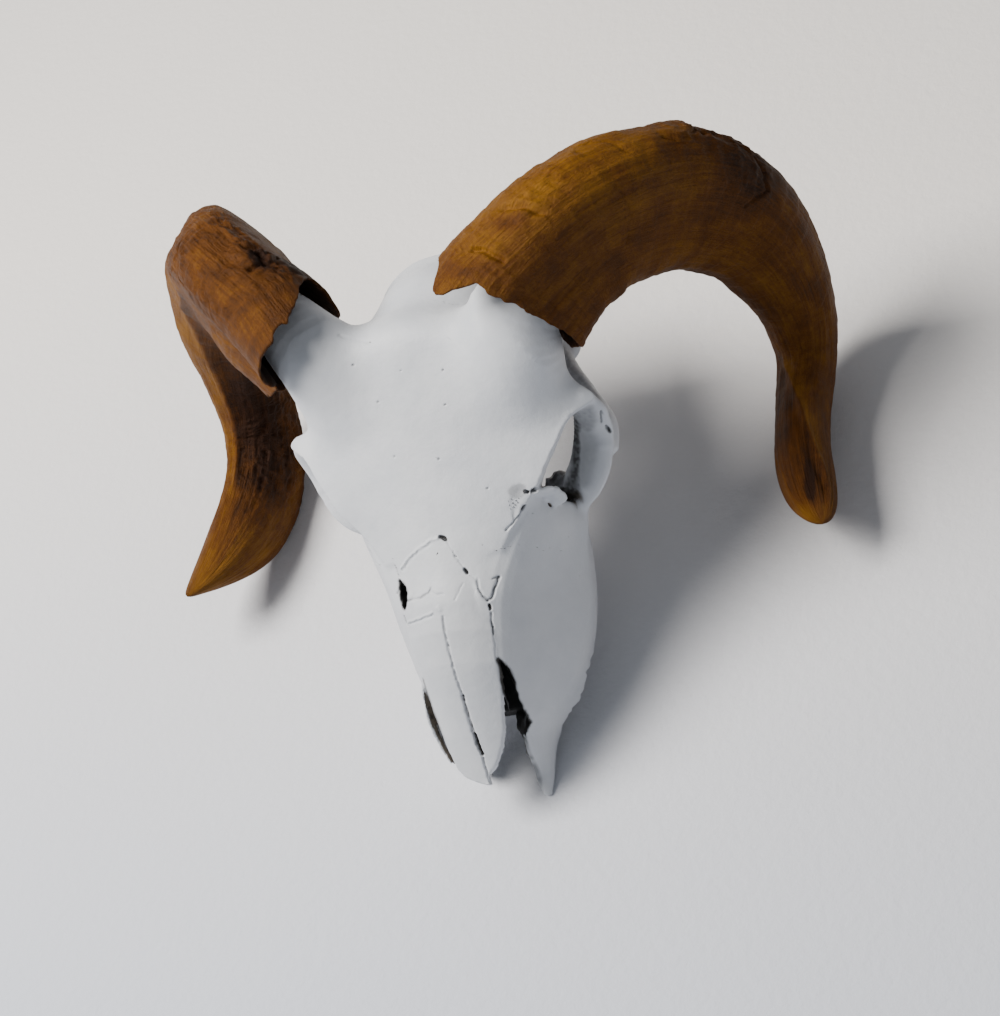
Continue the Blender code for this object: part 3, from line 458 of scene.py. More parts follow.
# The nose's hollow, and the notch in front of the palate.
def carveNose(n, target, axes):
    low, high = n["rows"][0][0], n["rows"][-1][0]
    cut, x, y, z = window((-30, low, 0), (30, high + 3, 100), axes)
    places = np.clip(y[0, :, 0], low, high)
    outlines = []
    for place, (low1, mid, wide, top) in zip(places, rowsAt(n["rows"], places)):
        floor = 8 if place < n["palateFront"] - 3 else 21
        half = [(wide, top), (wide, min(top, 68)), (mid, 46), (low1 + 1, 28), (low1 - 3, floor)]
        outlines.append([(0, top)] + half + [(0, floor)])
    d = loftDistance(np.abs(x), z, outlines)
    d = np.maximum(d, y - high)
    carve(target, cut, d.astype(np.float32), 1.5)
    cut, x, y, z = window((-30, low, -2), (30, n["palateFront"] + 5, 32), axes)
    notch = np.maximum(np.abs(x) - n["palateHalfGap"], y - n["palateFront"] - 0.28 * (z - 8))
    carve(target, cut, np.maximum(notch, z - 31).astype(np.float32) + 0 * x, 1.5)


# The whole field of one half; side is 1 for the left and -1 for the right.
def halfHead(side):
    field[:] = grid["far"]
    addLoft(faceOutlines, face)
    addLoft(lambda places: vaultOutlines(places, side), vault)
    addLoft(coreOutlines, coreForm)
    for name in ("brain", "occiput", "ear"):
        addBall(*balls[name])
    for name in ("orbit", "temple"):
        addBall(*balls[name], use=carve)
    addShelf(orbitRim)
    addRod(*hornCores[side])
    for rod in rods.values():
        addRod(*rod)
    for name in ("condyle", "bulla", "jaw", "tuber"):
        addBall(*balls[name])
    addMolars()
    carveNose(nose, field, (xs, ys, zs))
    addBall(*air["choana"], 2, use=carve)
    addBall(*air["spinal"], 2, use=carve)
    addRod(*air["tear"], (0, 0, 1), 1.5, use=carve)
    for y0, x0 in air["sockets"]:
        addBall((x0 + air["socketOutset"], y0, 10), air["socketRadii"], 1.5, use=carve)
    print("half a head built")
    return field.copy()


leftHalf = halfHead(1)
rightHalf = halfHead(-1)
field = np.concatenate([rightHalf[::-1], leftHalf])
xs = np.concatenate([-xs[::-1], xs])
axes = (xs, ys, zs)

# Roof of the nose and the outer borders of the nasal bones: y, height of the ridge; y, distance from the
# middle.
nasal = {
    "ridge": [(33, 45.5), (45, 54.5), (52, 60), (64.5, 69.2), (80, 80), (93, 86.8), (105, 90), (120, 91.5),
              (133, 91.8)],
    "fall": 6.5, "thick": 3.4,
    "left": [(37, 1.5), (39, 4.2), (42, 6.6), (47.5, 10.2), (53.5, 12.9), (69, 16.8), (80, 17.9), (91, 19.3),
             (103, 19.3), (109, 16.5), (117.5, 11.7), (125.5, 6.6), (132, 2.5)],
    "right": [(32.4, 2.6), (34, 7), (36.5, 12), (40, 14.8), (50, 16.9), (62, 18.4), (76, 18.4), (89, 20),
              (100, 21.3), (111, 22.3), (120, 21), (126.5, 15.5), (131.5, 7), (132.6, 3)]}


# Height of the nasal roof above the point (x, y), and how far inside the bones' outline it lies.
def nasalRoof(x, y):
    ridge = np.array(nasal["ridge"])
    return np.interp(y, ridge[:, 0], ridge[:, 1]) - nasal["fall"] * (x / 19) ** 2


def nasalReach(y, side):
    border = np.array(nasal[side])
    return np.interp(y, border[:, 0], border[:, 1], left=-3, right=-3)


cut, x, y, z = window((-26, 28, 34), (26, 138, 100), axes)
roof = nasalRoof(x, y)
reach = np.where(x > 0, nasalReach(y, "left"), nasalReach(y, "right"))
inside = np.maximum(np.abs(x) - reach, 31.5 - y)
plate = np.maximum(inside * 0.8, np.abs(z - roof + nasal["thick"] / 2) - nasal["thick"] / 2)
isNasal = np.broadcast_to((inside < 0) & (z > roof - nasal["thick"] - 0.6), field[cut].shape)
field[cut] = np.minimum(field[cut], plate)

# Breaks: the right maxilla has lost its thin tip along a ragged line, the left one ends in a point, and the
# tooth borders are jagged in front of the molars. Torn bone: a fragment in the left orbit, the flared rim of
# the right maxilla beside the nasal bone, and the thin shelf of the palate.
breaks = {
    "rightEnd": 40, "leftTip": (15.6, 28.0, 0.7, 0.5),
    "border": {"y": (52, 91), "z": 18.0, "height": 4.5, "size": 3.4},
    "fragment": {
        "path": [(44, 147, 87.5), (46.5, 149, 83), (46.8, 148.6, 77), (46, 147, 70)],
        "halfFirst": [2.4, 4.0, 5.4, 5.6], "halfSecond": [1.0, 1.2, 1.6, 2.2], "first": (1, 0.4, 0),
        "count": 14, "reach": 7, "blend": 1.0, "rough": 0.5, "size": 2.2, "seed": 6},
    "raggedFloor": ((42, 159, 51), (8, 6.5, 6)),
    "rightRim": {
        "path": [(-19.6, 80, 65), (-20.6, 76, 62.5), (-21.6, 70, 59), (-22, 64, 55.5), (-21.4, 58, 51.5),
                 (-19.9, 51.5, 47), (-17.8, 45, 43)],
        "halfFirst": [3.2, 4.2, 4.8, 4.8, 4.6, 4.4, 3.6], "halfSecond": [0.8, 1.1, 1.3, 1.4, 1.3, 1.1, 1.0],
        "first": (0, 0, 1), "count": 24, "reach": 8, "blend": 1.5, "rough": 0.25, "size": 3, "seed": 18},
    "palateShelf": {
        "path": [(8.5, 66, 20), (9, 57, 19), (11.5, 47, 18.6), (14.4, 36, 18.8)],
        "halfFirst": [6.5, 5.6, 4.0, 1.4], "halfSecond": [1.3, 1.2, 1.1, 1.0], "first": (1, 0, 0),
        "count": 18, "reach": 8, "blend": 1.0, "rough": 0.6, "size": 3, "seed": 16}}
# Holes through or into the bone: path, half depth, half width, the way they go in, how dark inside, how
# ragged.
holes = {
    "noseSide": ([(-21.0, 117.5, 86.5), (-20.2, 114.5, 86.2), (-19.8, 110.5, 85.4), (-20.6, 106, 84)],
                 [9, 9, 9, 9], [0.5, 1.9, 2.2, 0.6], (-0.5, 0, 0.87), 1.0, 0.4),
    "rightSlot": (
        [(-18.9, 76.5, 71.5), (-19.8, 70.4, 67), (-19.8, 64.4, 62.5), (-19.2, 58.4, 58.5), (-17.6, 51, 52)],
        [6, 6, 7, 7, 8], [0.5, 1.3, 1.7, 1.7, 1.2], (-0.4, 0, 0.9), 0.82, 0.25),
    "leftSlot": (
        [(18.6, 80.5, 74.5), (19.3, 77.5, 71), (19.2, 74, 67.5), (18.6, 70, 63.5), (18.4, 66, 60),
         (17.9, 61, 54.5), (16.6, 55, 46)],
        [7, 8, 9, 9, 9, 9, 9], [0.3, 1.3, 2.4, 2.6, 2.3, 2.8, 4.0], (0.25, -0.35, 0.9), 1.0, 0.35),
    "tearPit": ([(35.6, 146.6, 94.5), (38.2, 147.0, 93.6), (40.4, 148.2, 93)], [2.0, 2.6, 2.2],
                [2.2, 3.0, 2.3], (0.25, 0, 0.97), 0.4, 0.5)}


# Thin torn bone: a bent rod with a rough skin.
def addTorn(s):
    rod = bentRod(s["path"], s["halfFirst"], s["halfSecond"], s["first"], s["count"])
    cut, x, y, z = window(rod[0].min(0) - s["reach"], rod[0].max(0) + s["reach"], axes)
    piece = chainDistance(x, y, z, *rod) + s["rough"] * grain(x, y, z, s["size"], s["seed"])
    field[cut] = smoothMin(field[cut], piece.astype(np.float32), s["blend"])


def breakBones(b):
    cut, x, y, z = window((-24, 22, 4), (-0.2, 46, 40), axes)
    edge = b["rightEnd"] + 2.0 * grain(x, y, z, 4, 3) + 0 * y
    lower = np.where(z < nasalRoof(x, y) - nasal["thick"] - 2, edge - y, -9)
    field[cut] = np.maximum(field[cut], lower)
    middle, start, least, slope = b["leftTip"]
    cut, x, y, z = window((4, 22, 4), (24, 40, 34), axes)
    point = np.abs(x - middle - 0.1 * (y - start)) - least - slope * (y - start) + 0 * z
    target = np.where(z < nasalRoof(x, y) - nasal["thick"] - 1, point, -9)
    field[cut] = np.maximum(field[cut], target)
    low, high = b["border"]["y"]
    for side in (-1, 1):
        cut, x, y, z = window((16 if side > 0 else -50, low, 2), (50 if side > 0 else -16, high, 30), axes)
        size = b["border"]["size"]
        ragged = 0.7 * grain(0.6 * x, y, 0 * z, size, 5 + side)
        ragged = ragged + 0.4 * grain(x, y, 0 * z, size / 2.4, 8 + side)
        fade = unit((y - low) / 8) * unit((high - y) / 4)
        edge = b["border"]["z"] - 6 + fade * (6 + b["border"]["height"] * ragged)
        field[cut] = np.maximum(field[cut], edge - z)
    for name in ("fragment", "rightRim", "palateShelf"):
        addTorn(b[name])
    centre, radii = b["raggedFloor"]
    cut, x, y, z = window([c - 12 for c in centre], [c + 12 for c in centre], axes)
    ragged = ballDistance(x, y, z, centre, radii) + 1.5 * grain(x, y, z, 3.2, 9)
    field[cut] = smoothMin(field[cut], ragged.astype(np.float32), 1.0)


# Distance to a ragged hole, below 0 inside it.
def holeDistance(hole, x, y, z):
    path, through, wide, into, _, ragged = hole
    d = chainDistance(x, y, z, *bentRod(path, through, wide, into, 6 * len(path)))
    return d + ragged * grain(x, y, z, 2.0, 13)


# Take a hole out of the bone; the slots beside the nasal bones leave these whole.
def pierce(hole, keepsNasal):
    reach = max(hole[1]) + 4
    path = np.array(hole[0])
    cut, x, y, z = window(path.min(0) - reach, path.max(0) + reach, axes)
    d = holeDistance(hole, x, y, z)
    if not keepsNasal:
        field[cut] = np.maximum(field[cut], -d)
        return
    roof = np.abs(z - nasalRoof(x, y) + nasal["thick"] / 2) < nasal["thick"] / 2 + 0.7
    onNasal = roof & (np.abs(x) < np.where(x > 0, nasalReach(y, "left"), nasalReach(y, "right")) + 0.3)
    field[cut] = np.where(onNasal, field[cut], np.maximum(field[cut], -d))


breakBones(breaks)
for name, hole in holes.items():
    pierce(hole, name.endswith("Slot"))


# Cells of the allowed kind that straight sweeps, back and forth along each axis, reach from the first ones.
def flood(reached, allowed, sweeps):
    reached &= allowed
    for turn in range(sweeps):
        for axis in range(3):
            r, a = np.moveaxis(reached, axis, 0), np.moveaxis(allowed, axis, 0)
            for i in range(1, len(a)):
                r[i] |= r[i - 1] & a[i]
            for i in range(len(a) - 2, -1, -1):
                r[i] |= r[i + 1] & a[i]
    return reached


# Air that cannot be reached from outside is filled with bone, and crumbs that hang loose are dropped.
def fillPockets():
    reached = np.zeros(field.shape, bool)
    reached[0], reached[-1] = True, True
    pockets = (field >= 0) & ~flood(reached, field >= 0, 6)
    field[pockets] = -0.4
    soundBone = field < -1.2  # all bone but the crumbs is this deep somewhere near
    crumbs = (field < 0) & ~flood(soundBone, field < 0, 8)
    field[crumbs] = 0.4
    print("pockets filled:", int(pockets.sum()), "crumbs dropped:", int(crumbs.sum()))


fillPockets()

# Which bone each point belongs to: side outlines (y, z) of the regions, in the order that they are taken.
far = 400
regions = [
    ("occipital", 0, None,
     [(251, 62), (257, 74), (262, 120), (far, 120), (far, -20), (234, -20), (234, 33), (248, 42)]),
    ("zygomatic", 43.5, None, [(119, 0), (119, 48), (138, 49.5), (150, 60), (160, 80), (202, 80), (202, 0)]),
    ("brain_case", 46, None, [(202, -20), (204, 60), (206, 76), (230, 80), (far, 80), (far, -20)]),
    ("brain_case", 0, 46, [(202, -20), (206, 72), (216, 90), (226, 106), (far, 112), (far, -20)]),
    ("frontals", 0, None,
     [(126, 84), (128, 80), (150, 82), (170, 74), (196, 72), (far, 60), (far, 260), (126, 260)]),
    ("sphenoid", 0, None, [(150, 5), (150, 130), (230, 130), (230, 5)]),
    ("lacrimal", 27, None, [(128, 57), (126, 90), (165, 90), (165, 55)]),
    ("maxilla", 0, None, [(-far, -far), (far, -far), (far, far), (-far, far)])]
paired = ("zygomatic", "lacrimal", "maxilla")
boneNames = ["occipital", "zygomatic_left", "zygomatic_right", "brain_case", "frontals", "sphenoid",
             "lacrimal_left", "lacrimal_right", "maxilla_left", "maxilla_right", "nasal_left", "nasal_right"]
boneNumber = {name: i + 1 for i, name in enumerate(boneNames)}


def insideOutline(y, z, outline):
    hit = np.zeros(np.broadcast(y, z).shape, bool)
    for (ay, az), (by, bz) in zip(outline, outline[1:] + outline[:1]):
        if az != bz:
            hit ^= ((az > z) != (bz > z)) & (y < ay + (by - ay) * (z - az) / (bz - az))
    return hit


# The number of the bone at each cell of the grid; the borders waver a little.
def labelBones():
    nearBone = np.argwhere(field < 0)
    px, py, pz = xs[nearBone[:, 0]], ys[nearBone[:, 1]], zs[nearBone[:, 2]]
    wy = py + 0.9 * waves(px, py, pz, 9, 1, 3)
    wz = pz + 0.9 * waves(px, py, pz, 11, 2, 3)
    number = np.zeros(len(px), np.uint8)
    for name, nearest, farthest, outline in regions:
        hit = (number == 0) & (np.abs(px) >= nearest) & insideOutline(wy, wz, outline)
        if farthest:
            hit &= np.abs(px) < farthest
        if name in paired:
            number[hit & (px > 0)] = boneNumber[name + "_left"]
            number[hit & (px < 0)] = boneNumber[name + "_right"]
        else:
            number[hit] = boneNumber[name]
    labels = np.zeros(field.shape, np.uint8)
    labels[tuple(nearBone.T)] = number
    return labels


labels = labelBones()
cut, x, y, z = window((-26, 28, 34), (26, 138, 100), axes)
onNose = isNasal & (labels[cut] > 0)
leftSide = np.broadcast_to(x > 0, onNose.shape)
labels[cut][onNose & leftSide] = boneNumber["nasal_left"]
labels[cut][onNose & ~leftSide] = boneNumber["nasal_right"]
print("bones told apart")


# One shared skin around every bone, with a wall wherever two bones meet.
def skinOfLabels(labels, field):
    shape = np.array(labels.shape)
    strides = np.array([shape[1] * shape[2], shape[2], 1])
    lab = labels.ravel()
    val = field.ravel()
    found = []
    for axis in range(3):
        a = [slice(None)] * 3
        b = [slice(None)] * 3
        a[axis], b[axis] = slice(0, -1), slice(1, None)
        differ = np.argwhere(labels[tuple(a)] != labels[tuple(b)])
        keep = np.all((differ > 0) & (differ < shape - 2), axis=1)
        found.append(differ[keep])
    cellOf = np.full(int(np.prod(shape)), -1, np.int32)
    rings = []
    for axis, nodes in enumerate(found):
        flat = nodes @ strides
        others = [k for k in range(3) if k != axis]
        p, q = strides[others[0]], strides[others[1]]
        rings.append((flat, np.stack([flat - p - q, flat - q, flat, flat - p], 1), others))
        cellOf[rings[-1][1].ravel()] = 0
    used = np.flatnonzero(cellOf == 0)
    cellOf[used] = np.arange(len(used))
    total = np.zeros((len(used), 3))
    count = np.zeros(len(used))
    totalOuter = np.zeros((len(used), 3))
    countOuter = np.zeros(len(used))
    quads, fromTo = [], []
    for axis, (flat, ring, others) in enumerate(rings):
        la, lb = lab[flat], lab[flat + strides[axis]]
        fa, fb = val[flat], val[flat + strides[axis]]
        outer = (la == 0) | (lb == 0)
        t = np.where(outer, fa / np.where(np.abs(fa - fb) < 1e-6, 1e-6, fa - fb), 0.5)
        place = found[axis].astype(float)
        place[:, axis] += np.clip(t, 0.02, 0.98)
        cells = cellOf[ring]
        for k in range(4):
            for c in range(3):
                total[:, c] += np.bincount(cells[:, k], place[:, c], len(used))
                totalOuter[:, c] += np.bincount(cells[outer, k], place[outer, c], len(used))
            count += np.bincount(cells[:, k], minlength=len(used))
            countOuter += np.bincount(cells[outer, k], minlength=len(used))
        # The quad faces from the first bone to the second along rising coordinates.
        turn = cells if axis != 1 else cells[:, ::-1]
        quads.append(turn)
        fromTo.append(np.stack([la, lb], 1))
    onSkin = countOuter > 0
    points = np.where(onSkin[:, None], totalOuter / np.maximum(countOuter, 1)[:, None],
                      total / np.maximum(count, 1)[:, None])
    return points, np.concatenate(quads), np.concatenate(fromTo), onSkin


points, quads, fromTo, onSkin = skinOfLabels(labels, field)
origin = np.array([xs[0], ys[0], zs[0]])
points = points * step + origin
print("skin made:", len(points), "points,", len(quads), "quads")


# Faces with air on one side.
def isOuter(sides):
    return (sides[:, 0] == 0) | (sides[:, 1] == 0)


# Edges of the outer skin, each from its first point to its second.
def skinEdges(quads, sides):
    outer = quads[isOuter(sides)]
    return outer.T.ravel(), np.roll(outer, -1, 1).T.ravel()


# Even the skin out without shrinking it.
def evenOut(points, quads, onSkin, passes):
    a, b = skinEdges(quads, fromTo)
    degree = np.bincount(a, minlength=len(points)) + np.bincount(b, minlength=len(points))
    for amount in passes:
        mean = np.zeros_like(points)
        for c in range(3):
            mean[:, c] = np.bincount(a, points[b, c], len(points))
            mean[:, c] += np.bincount(b, points[a, c], len(points))
        mean /= np.maximum(degree, 1)[:, None]
        points = np.where(onSkin[:, None] & (degree > 0)[:, None], points + amount * (mean - points), points)
    return points


points = evenOut(points, quads, onSkin, passes=(0.55, -0.5, 0.5, -0.45))


# Directions that face out of the skin at each point.
def skinNormals(points, quads, fromTo, extras):
    outer = isOuter(fromTo)
    q = quads[outer]
    away = np.where((fromTo[outer, 0] == 0)[:, None], -1.0, 1.0)
    cross = np.cross(points[q[:, 2]] - points[q[:, 0]], points[q[:, 3]] - points[q[:, 1]]) * away
    normals = np.zeros_like(points)
    for k in range(4):
        for c in range(3):
            normals[:, c] += np.bincount(q[:, k], cross[:, c], len(points))
    for corners, (a, b) in extras:
        if a == 0 or b == 0:
            ring = points[corners]
            spread = np.cross(ring, np.roll(ring, -1, 0)).sum(0) * (-1.0 if a == 0 else 1.0)
            normals[corners] += spread
    return normals / np.maximum(np.linalg.norm(normals, axis=1), 1e-9)[:, None]


# The forehead is one smooth sheet: wear away the creases where its forms were joined.
def sootheForehead(points, passes):
    rows = np.array(vault["rows"])
    edge = np.interp(points[:, 1], rows[:, 0], rows[:, 2])
    edgeZ = np.interp(points[:, 1], rows[:, 0], rows[:, 3])
    weight = unit((edge - 3 - np.abs(points[:, 0])) / 7)
    weight *= unit((points[:, 2] - edgeZ + 1) / 4)
    weight *= unit((points[:, 1] - 110) / 10) * unit((268 - points[:, 1]) / 10) * onSkin
    weight *= unit(skinNormals(points, quads, fromTo, [])[:, 2] * 3 - 0.6)
    chosen = np.flatnonzero(weight > 0)
    local = np.full(len(points), -1)
    local[chosen] = np.arange(len(chosen))
    a, b = skinEdges(quads, fromTo)
    both = (local[a] >= 0) & (local[b] >= 0)
    a, b = local[a[both]], local[b[both]]
    degree = np.bincount(a, minlength=len(chosen))
    part = points[chosen]
    share = 0.6 * weight[chosen] * (degree > 2)
    degree = np.maximum(degree, 1)
    for turn in range(passes):
        for c in range(3):
            part[:, c] += share * (np.bincount(a, part[b, c], len(chosen)) / degree - part[:, c])
    points[chosen] = part
    return points


points = sootheForehead(points, passes=160)

# Marks on the bone: points (x, y, z), half width, depth (below 0 it stands up), how dark, how blotchy.
marks = {
    "sutureLipRight": (
        [(-18.6, 122.6, 88.4), (-14.2, 125.9, 91), (-8.5, 128.8, 92.9), (-2.3, 131.3, 94), (2.4, 132.4, 94)],
        0.7, -0.55, 0, 0),
    "sutureRight": ([(-18.2, 121.6, 88.4), (-13.8, 124.7, 91), (-8.3, 127.6, 92.9), (-2.2, 130.1, 94)], 0.7,
                    0.3, 0.06, 0),
    "gapAtTop": ([(2.6, 132.4, 94), (4.6, 131.2, 93.7)], 0.9, 1.8, 1, 0),
    "crackUnderTop": ([(5.4, 129.9, 93.4), (7.3, 126.4, 92.7), (8, 123.9, 91.4)], 0.5, 0.5, 0.5, 0.5),
    "gapInMiddle": ([(11.3, 118, 88.9), (12, 117, 88.6)], 0.9, 1.6, 1, 0),
    "crackToFork": ([(8, 123.9, 91.4), (11.7, 117.5, 88.7), (16.1, 113.2, 87.7)], 0.5, 0.3, 0.1, 0),
    "forkRightArm": ([(16.1, 113.2, 87.7), (16.2, 109.5, 86.5), (17.7, 106.6, 85.5), (19.4, 104.8, 84.3)],
                     0.6, 0.8, 0.45, 0.5),
    "forkLeftArm": ([(19.4, 104.8, 84.3), (21, 105.6, 83.8), (22.6, 110, 83.7), (24.6, 114.2, 83.8)], 0.6,
                    1.0, 0.8, 0.5),
    "forkHook": ([(24.6, 114.2, 83.8), (22.2, 113.6, 84.6)], 0.5, 0.6, 0.5, 0),
    "gapUnderFork": ([(19.7, 102.6, 83.4), (19.7, 101.4, 83)], 0.8, 1.6, 1, 0),
    "leftBorderCrack": ([(19.7, 99.6, 82.3), (19.4, 95.9, 81), (19.2, 91.1, 79)], 0.5, 1.2, 0.8, 0.4),
    "leftBorderHairline": ([(19.2, 91, 79), (17.9, 79.6, 74)], 0.5, 0.35, 0.12, 0),
    "nickOverNoseHole": ([(-22.3, 124.1, 87.6), (-21, 119.5, 86.8)], 0.5, 0.5, 0.3, 0.6),
    "nickBesideNoseHole": ([(-22.4, 113.5, 85), (-24.2, 112.6, 84)], 0.6, 0.7, 0.6, 0.3),
    "nickUnderNoseHole": ([(-21.4, 102.8, 82), (-20.4, 99.1, 81.4)], 0.6, 0.7, 0.5, 0.3),
    "upperScratch": ([(-17.3, 108.4, 86.1), (-10.4, 108.5, 88.5), (-5.8, 109.8, 90), (-4.6, 111.6, 90.5)],
                     0.5, 0.55, 0.4, 0.4),
    "upperScratchEnd": ([(-4.6, 110.4, 90.4), (-1.8, 108.4, 90.5), (1.4, 108.5, 90.4)], 0.5, 0.3, 0.14, 0.3),
    "lowerRidge": ([(-19.2, 100, 82.8), (-11.7, 100.3, 86.3), (-4.9, 101.3, 88.7)], 0.6, -0.55, 0, 0),
    "lowerScratch": ([(-19.2, 99, 82.6), (-11.7, 99.3, 86), (-4.9, 100.3, 88.4)], 0.5, 0.35, 0.08, 0),
    "smallBump": ([(-1.6, 103, 89.5), (-1, 102.4, 89.4)], 1.2, -0.45, 0, 0),
    "leftScratch": ([(10.2, 112, 89.1), (8, 108.5, 89.3), (6.4, 105.5, 89.4)], 0.5, 0.25, 0.14, 0.4),
    "seamUpper": (
        [(0, 99, 88.6), (-0.2, 93, 87), (-0.2, 86.5, 83.7), (-0.2, 80, 80.3), (-0.2, 73.9, 75.8),
         (0.3, 67.2, 71.3)],
        0.6, 0.9, 0.32, 0.4),
    "seamMiddle": ([(0.3, 67.2, 71.3), (-0.2, 63.3, 68.5), (-0.1, 55, 62.4), (0, 51.4, 59.8)], 0.8, 1.3, 0.6,
                   0.5),
    "seamGap": ([(0, 51.8, 60), (0.1, 48.2, 57.2), (0.5, 44.2, 54.2)], 0.9, 3.0, 1, 0.1),
    "seamTip": ([(0.3, 43, 53), (0.2, 38, 49.5), (0, 33.5, 46)], 0.6, 1.0, 0.5, 0.4),
    # Painted shade, with some unpainted bone, in the strip beside the right slot.
    "rightSlotShadeAndBare": ([(-20.4, 73, 66), (-21, 66, 61), (-20.4, 60, 56), (-19, 54, 50), (-17.6, 46, 40)],
                      [0.9, 1.3, 1.6, 1.6, 1.4], 0.2, 0.7, 0.9),
    # Painted shade in the hollows of the left orbit and the temple, in the next six marks.
    "orbitShade": (
        [(58, 178.5, 75), (55.2, 176.8, 69.8), (55, 173, 67.2), (54.6, 169, 65), (53.2, 163.2, 62.2),
         (51.6, 159.4, 60), (49.8, 156, 57.5), (47.2, 152.8, 54.7)],
        [4.2, 3.4, 2.8, 2.6, 2.6, 3.2, 4.2, 5], 0.2, 0.92, 0.2),
    "orbitBackShade": ([(64, 180, 86), (61, 179, 80), (59, 178, 74)], [3.5, 4.5, 4.5], 0, 0.5, 0.3),
    "orbitEdgeShade": ([(67.5, 180.5, 83.5), (65.5, 178.5, 78), (63, 176.5, 73)], [3.8, 4.6, 3.5], 0, 0.5,
                      0.15),
    "orbitFloorShade": ([(62, 177.5, 75), (61.5, 172, 68), (59, 164, 63.6), (55.5, 157.5, 60)], [5, 5, 4.5, 4],
                       0, 0.34, 0.1),
    "templeShade": (
        [(49, 216, 63), (51.6, 208.6, 65), (54.9, 201.9, 66), (58.5, 195.8, 66.5), (63, 191.9, 66.9)], 5.5, 0,
        0.42, 0.4),
    "orbitDeepestShade": ([(48.2, 152.8, 55.7), (44.4, 152.1, 53.4), (41.5, 155.7, 52.9), (40, 162, 54)],
                         [5, 6, 7, 7], 0, 0.95, 0.15),
    "tearPitSlope": ([(36.4, 144.2, 91.5), (35.4, 140.5, 89.8), (34.5, 137, 88.4)], [2.2, 1.6, 0.5], 0.35,
                     0.12, 0),
    "tearCrack": ([(39.0, 141.2, 88.3), (37.0, 138.7, 87.6), (34.3, 135.9, 88.1), (30.6, 132.9, 88.2)], 0.5,
                  0.9, 0.4, 0.5),
    "tearCrackHole": ([(39.5, 142, 88.4), (38.6, 141, 88)], 0.9, 1.0, 1, 0),
    "rimHoleInner": ([(41.6, 147.1, 91.7), (42.4, 146.8, 91.3)], 0.8, 1.8, 1, 0),
    "rimHoleOuter": ([(44.5, 147.2, 90.6), (45.6, 147.8, 90.3)], 1.0, 1.8, 1, 0.1),
    "rimHairline": ([(42.4, 146.8, 91.3), (44.5, 147.2, 90.6)], 0.4, 0.4, 0.25, 0),
    "fragmentPit": ([(46.5, 149.5, 84.5), (46.9, 149.2, 84)], 0.5, 0.8, 0.7, 0),
    "browJointHole": ([(71.8, 176.5, 72), (72.2, 174.5, 69.8)], 0.8, 1.5, 0.9, 0.2),
    "browJointCrack": ([(72.6, 180.4, 79.7), (70.7, 177.4, 75.2)], 0.5, 0.7, 0.6, 0.2),
    "browJointEdge": ([(72.8, 180.6, 79.6), (73.6, 178, 76.5)], 0.5, 0.6, 0.5, 0.2),
    "crownDent": ([(-29, 219.9, 121.2), (-22, 217, 121.5), (-15.6, 214.4, 121.4)], 1.0, 0.4, 0.05, 0)}
# Tiny pits that the paint left open, and their half width, depth, darkness and blotches.
pitLook = (0.45, 0.6, 0.4, 0)
pits = [(-2.3, 200.1, 118.3), (-23.6, 205.8, 120.2), (-15.6, 189.9, 113.3), (16.9, 197.9, 116.7),
        (14.8, 184.3, 111.3), (-13, 167.3, 104.7), (7.3, 163.7, 103.7), (-5, 78, 79), (26, 150, 96),
        (-34, 176, 104), (34, 178, 104), (30, 118, 70), (34, 96, 50), (-8, 222, 120), (22, 210, 119)]


# Distance of points to a mark, with the half width of the mark at the nearest place.
def markDistance(where, line, wide):
    best = np.full(len(where), 1e3)
    width = np.ones(len(where))
    wide = wide if isinstance(wide, list) else [wide] * len(line)
    for i in range(len(line) - 1):
        a, b = np.array(line[i], float), np.array(line[i + 1], float)
        t = unit((where - a) @ (b - a) / max((b - a) @ (b - a), 1e-6))
        d = np.linalg.norm(where - a - t[:, None] * (b - a), axis=1)
        nearer = d < best
        best = np.where(nearer, d, best)
        width = np.where(nearer, wide[i] + (wide[i + 1] - wide[i]) * t, width)
    return best, width


def allMarks():
    return list(marks.values()) + [([p, (p[0] + 0.3, p[1], p[2])], *pitLook) for p in pits]


def widest(wide):
    return max(wide) if isinstance(wide, list) else wide


# Numbers of the points that lie in the box around a path, grown by the reach.
def pointsNear(points, path, reach):
    edge = np.array(path)
    inBox = (points > edge.min(0) - reach) & (points < edge.max(0) + reach)
    return np.flatnonzero(np.all(inBox, axis=1))


# Halve the edges of the chosen quads; neighbours keep their shape and take the new corners in.
def refine(points, quads, fromTo, extras, chosen):
    n = len(points)
    q = quads[chosen].astype(np.int64)
    a, b = q, np.roll(q, -1, 1)
    keys, where = np.unique((np.minimum(a, b) * n + np.maximum(a, b)).ravel(), return_inverse=True)
    middle = n + where.reshape(q.shape)
    centre = n + len(keys) + np.arange(len(q))
    fresh = np.concatenate([np.stack([q[:, k], middle[:, k], centre, middle[:, k - 1]], 1) for k in range(4)])
    points = np.concatenate([points, (points[keys // n] + points[keys % n]) / 2, points[q].mean(1)])
    rest, restSides = quads[~chosen].astype(np.int64), fromTo[~chosen]
    a, b = rest, np.roll(rest, -1, 1)
    edge = np.minimum(a, b) * n + np.maximum(a, b)
    slot = np.minimum(np.searchsorted(keys, edge), len(keys) - 1)
    split = keys[slot] == edge
    touched = split.any(1)
    known = {int(key): n + i for i, key in enumerate(keys)}
    grown = []
    for corners, sides in list(zip(rest[touched].tolist(), restSides[touched].tolist())) + extras:
        loop = []
        for c, d in zip(corners, corners[1:] + corners[:1]):
            loop.append(c)
            key = min(c, d) * n + max(c, d)
            if key in known:
                loop.append(known[key])
        grown.append((loop, sides))
    quads = np.concatenate([rest[~touched], fresh])
    fromTo = np.concatenate([restSides[~touched], np.tile(fromTo[chosen], (4, 1))])
    return points, quads, fromTo, grown


